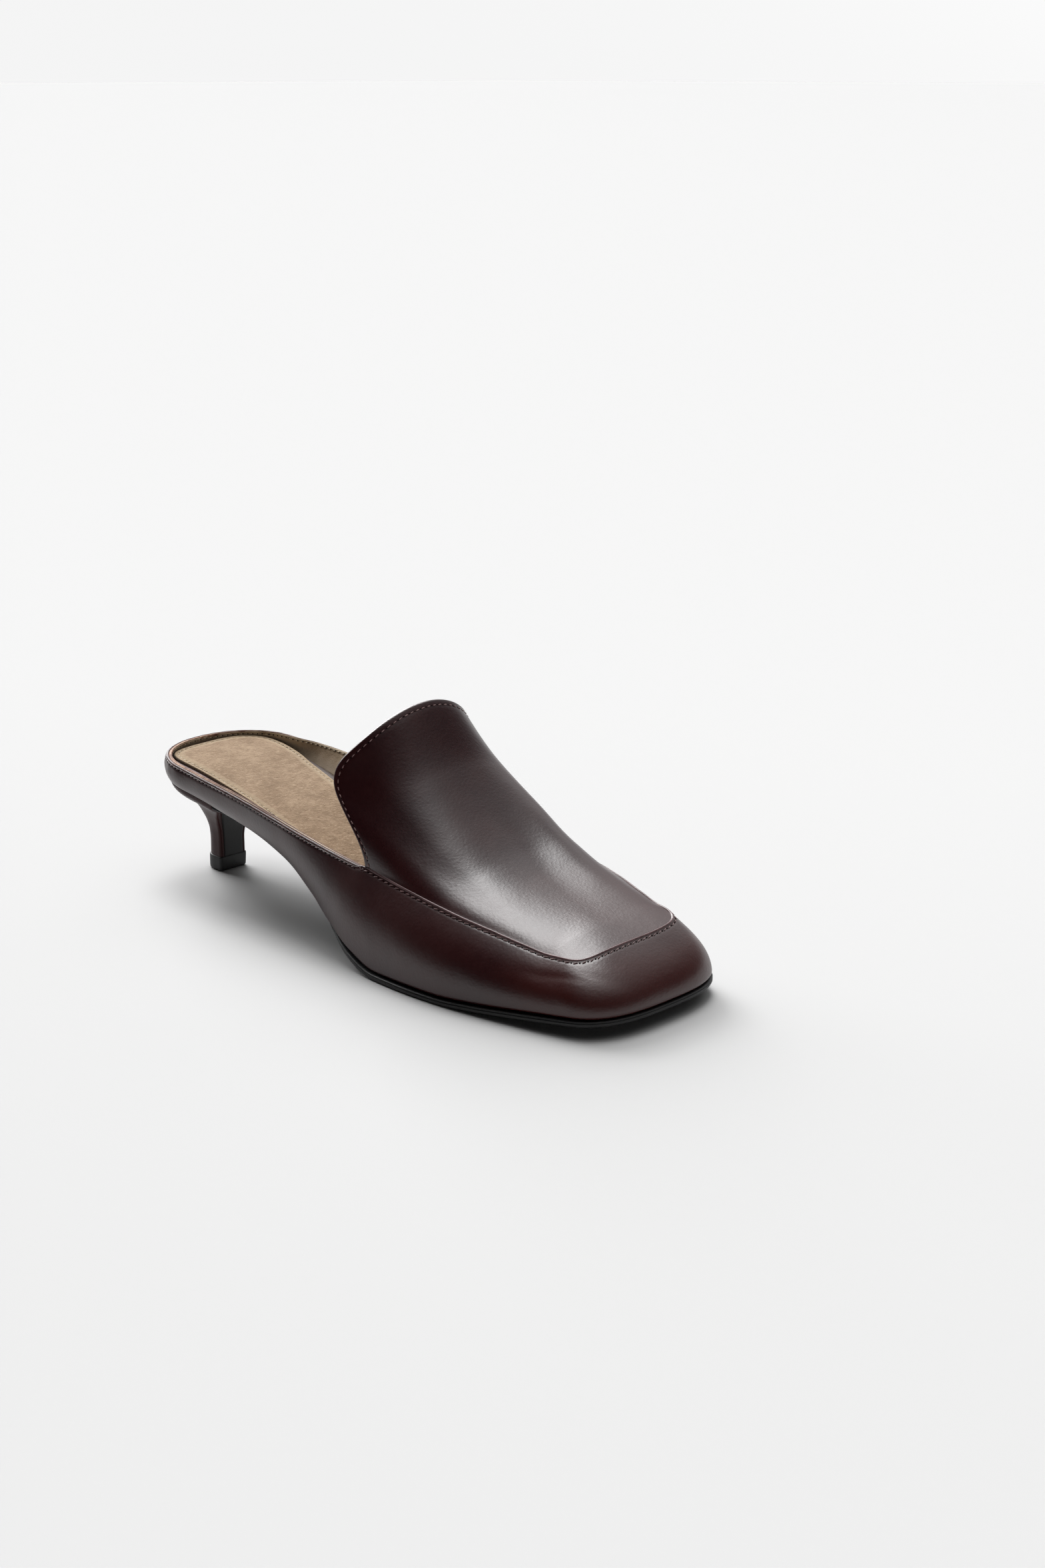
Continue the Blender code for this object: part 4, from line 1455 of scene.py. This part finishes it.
# ---- Top piece -----------------------------------------------------------------
# A small block of hard black rubber is pinned under the heel. It stands a little
# proud of the wrap, and its lower edge is rounded by the mould.

TIP = [
    # z, back x, breast x, half width
    (0.0, 10.75, 20.5, 5.95),
    (0.15, 10.45, 20.8, 6.25),
    (0.5, 10.2, 21.0, 6.5),
    (1.2, 10.15, 21.05, 6.55),
    (3.5, 10.2, 21.2, 6.6),
    (5.3, 10.3, 21.3, 6.62),
    (5.7, 10.4, 21.25, 6.55),
    (5.9, 10.6, 21.05, 6.35),
]
tip_rings = [
    [Vector((x, y + HEEL_Y, z)) for x, y in heel_outline(back, breast, half)] for z, back, breast, half in TIP
]
tip_rubber = black_rubber("tip_rubber", (0.0095, 0.0095, 0.0098), 0.48)
piece("top_piece", lay(closed_columns(tip_rings)), tip_rubber, ["heel_tip"])

# ---- Floor, light and camera ---------------------------------------------------
# A plain pale studio floor under one large soft light behind the shoe. Low pale
# walls close the studio in. The floor's paper is painted a little lighter towards
# the far side, a painted light, and out of sight to the left it is painted dark
# grey, a painted shade.

FLOOR_TURN = math.radians(236.5)        # the way its painted shade runs
FLOOR_DROP = 0.0001
mesh = bmesh.new()
bmesh.ops.create_grid(
    mesh, x_segments=1, y_segments=1, size=40.0,
    matrix=Matrix.Translation((0, 0, cad_low.z - FLOOR_DROP)),
)
data = bpy.data.meshes.new("floor")
mesh.to_mesh(data)
mesh.free()
floor = bpy.data.objects.new("floor", data)
bpy.context.scene.collection.objects.link(floor)
paper = Shader("floor_paper", Roughness=0.95, Specular_IOR_Level=0.0)
across, deep, _ = paper.axes()
# Painted light: the paper is painted a little lighter towards the far side, as the light falls on it.
far = (deep * 0.88 - across * 0.52).between(-0.45, 0.35)
# Painted shade: out of sight to the left the paper is painted dark grey, a shade that the leather mirrors.
left = (across * math.cos(FLOOR_TURN) + deep * math.sin(FLOOR_TURN)).between(0.165, 0.36)
tone = paper.blend(far, (0.452, 0.452, 0.452), (0.486, 0.486, 0.486))
paper.set(Base_Color=paper.blend(left, tone, (0.13, 0.13, 0.13)))
data.materials.append(paper.material)


def toward(azimuth, elevation):
    """A direction from the shoe, with its azimuth from the toe's end round to the medial side."""
    a, e = math.radians(azimuth), math.radians(elevation)
    return Vector((math.cos(a) * math.cos(e), math.sin(a) * math.cos(e), math.sin(e)))


class Sky(Shader):
    """The studio's walls and ceiling, as light that depends on direction alone."""

    def __init__(self, world):
        world.use_nodes = True
        self.tree = world.node_tree
        self.surface = self.tree.nodes["Background"]
        self.place = self.add("ShaderNodeTexCoord", {}, {}, "Generated")

    def facing(self, azimuth, elevation):
        """1 where the sky lies in a direction, 0 square to it."""
        direction = tuple(toward(azimuth, elevation))
        return self.add(
            "ShaderNodeVectorMath", {"operation": "DOT_PRODUCT"}, {0: self.place, 1: direction}, "Value",
        )

    def patch(self, azimuth, elevation, power, strength):
        """A soft patch of light round a direction, tighter as power grows."""
        return self.facing(azimuth, elevation).math("MAXIMUM", 0.0).math("POWER", power) * strength


# Reflectors and walls that the leather mirrors.
PATCHES = [
    # azimuth, elevation, power, strength
    (108, 24, 26.0, 0.95),
    (96, 43, 26.0, 0.95),
    (122, 40, 26.0, 0.38),
    (90, 84, 20.0, 1.60),
    (40, 56, 26.0, 0.60),
    (30, 72, 26.0, 0.48),
    (320, 72, 18.0, 0.25),
]
world = bpy.data.worlds.new("studio")
sky = Sky(world)
horizon = 1.0 - sky.facing(0, 90).between(0.05, 0.24)
flagged = sky.facing(232, 0).between(0.30, 0.85)
glow = (horizon * 0.89 + 0.02) * (1.0 - flagged * 0.95)
for patch in PATCHES:
    glow = glow + sky.patch(*patch)
sky.set(Color=(1.0, 1.0, 1.0), Strength=glow)
bpy.context.scene.world = world

# The soft light is wide and low, and narrows upwards: six discs side by side.
SOFT_LIGHT = [
    # name, azimuth, elevation, energy
    ("soft_low_right", 156, 25, 2.25),
    ("soft_low_left", 179, 25, 1.35),
    ("soft_right", 146, 40, 1.15),
    ("soft_left", 170, 40, 1.20),
    ("soft_high", 136, 56, 0.60),
    ("soft_top", 134, 72, 1.40),
]
for name, azimuth, elevation, energy in SOFT_LIGHT:
    disc = bpy.data.lights.new(name, "SUN")
    disc.angle = math.radians(26)
    disc.energy = energy
    item = bpy.data.objects.new(name, disc)
    bpy.context.scene.collection.objects.link(item)
    item.location = toward(azimuth, elevation) * 3.0
    item.rotation_euler = toward(azimuth, elevation).to_track_quat("Z", "Y").to_euler()

# The camera looks down at the toe from in front and from the lateral side.
AZIMUTH = math.radians(44.56)
ELEVATION = math.radians(16.90)
DISTANCE = 861
AIM = (147.28, 34.38, 54.18)
back = Vector((
    math.sin(AZIMUTH) * math.cos(ELEVATION), -math.cos(AZIMUTH) * math.cos(ELEVATION), math.sin(ELEVATION),
))
lens = bpy.data.cameras.new("camera")
lens.sensor_fit = "VERTICAL"
lens.sensor_height = 36.0
lens.lens = 54.23
lens.clip_start = 0.01
camera = bpy.data.objects.new("camera", lens)
bpy.context.scene.collection.objects.link(camera)
camera.location = at(*AIM) + back * DISTANCE * MM
camera.rotation_euler = back.to_track_quat("Z", "Y").to_euler()
bpy.context.scene.camera = camera
bpy.context.scene.view_settings.view_transform = "Standard"
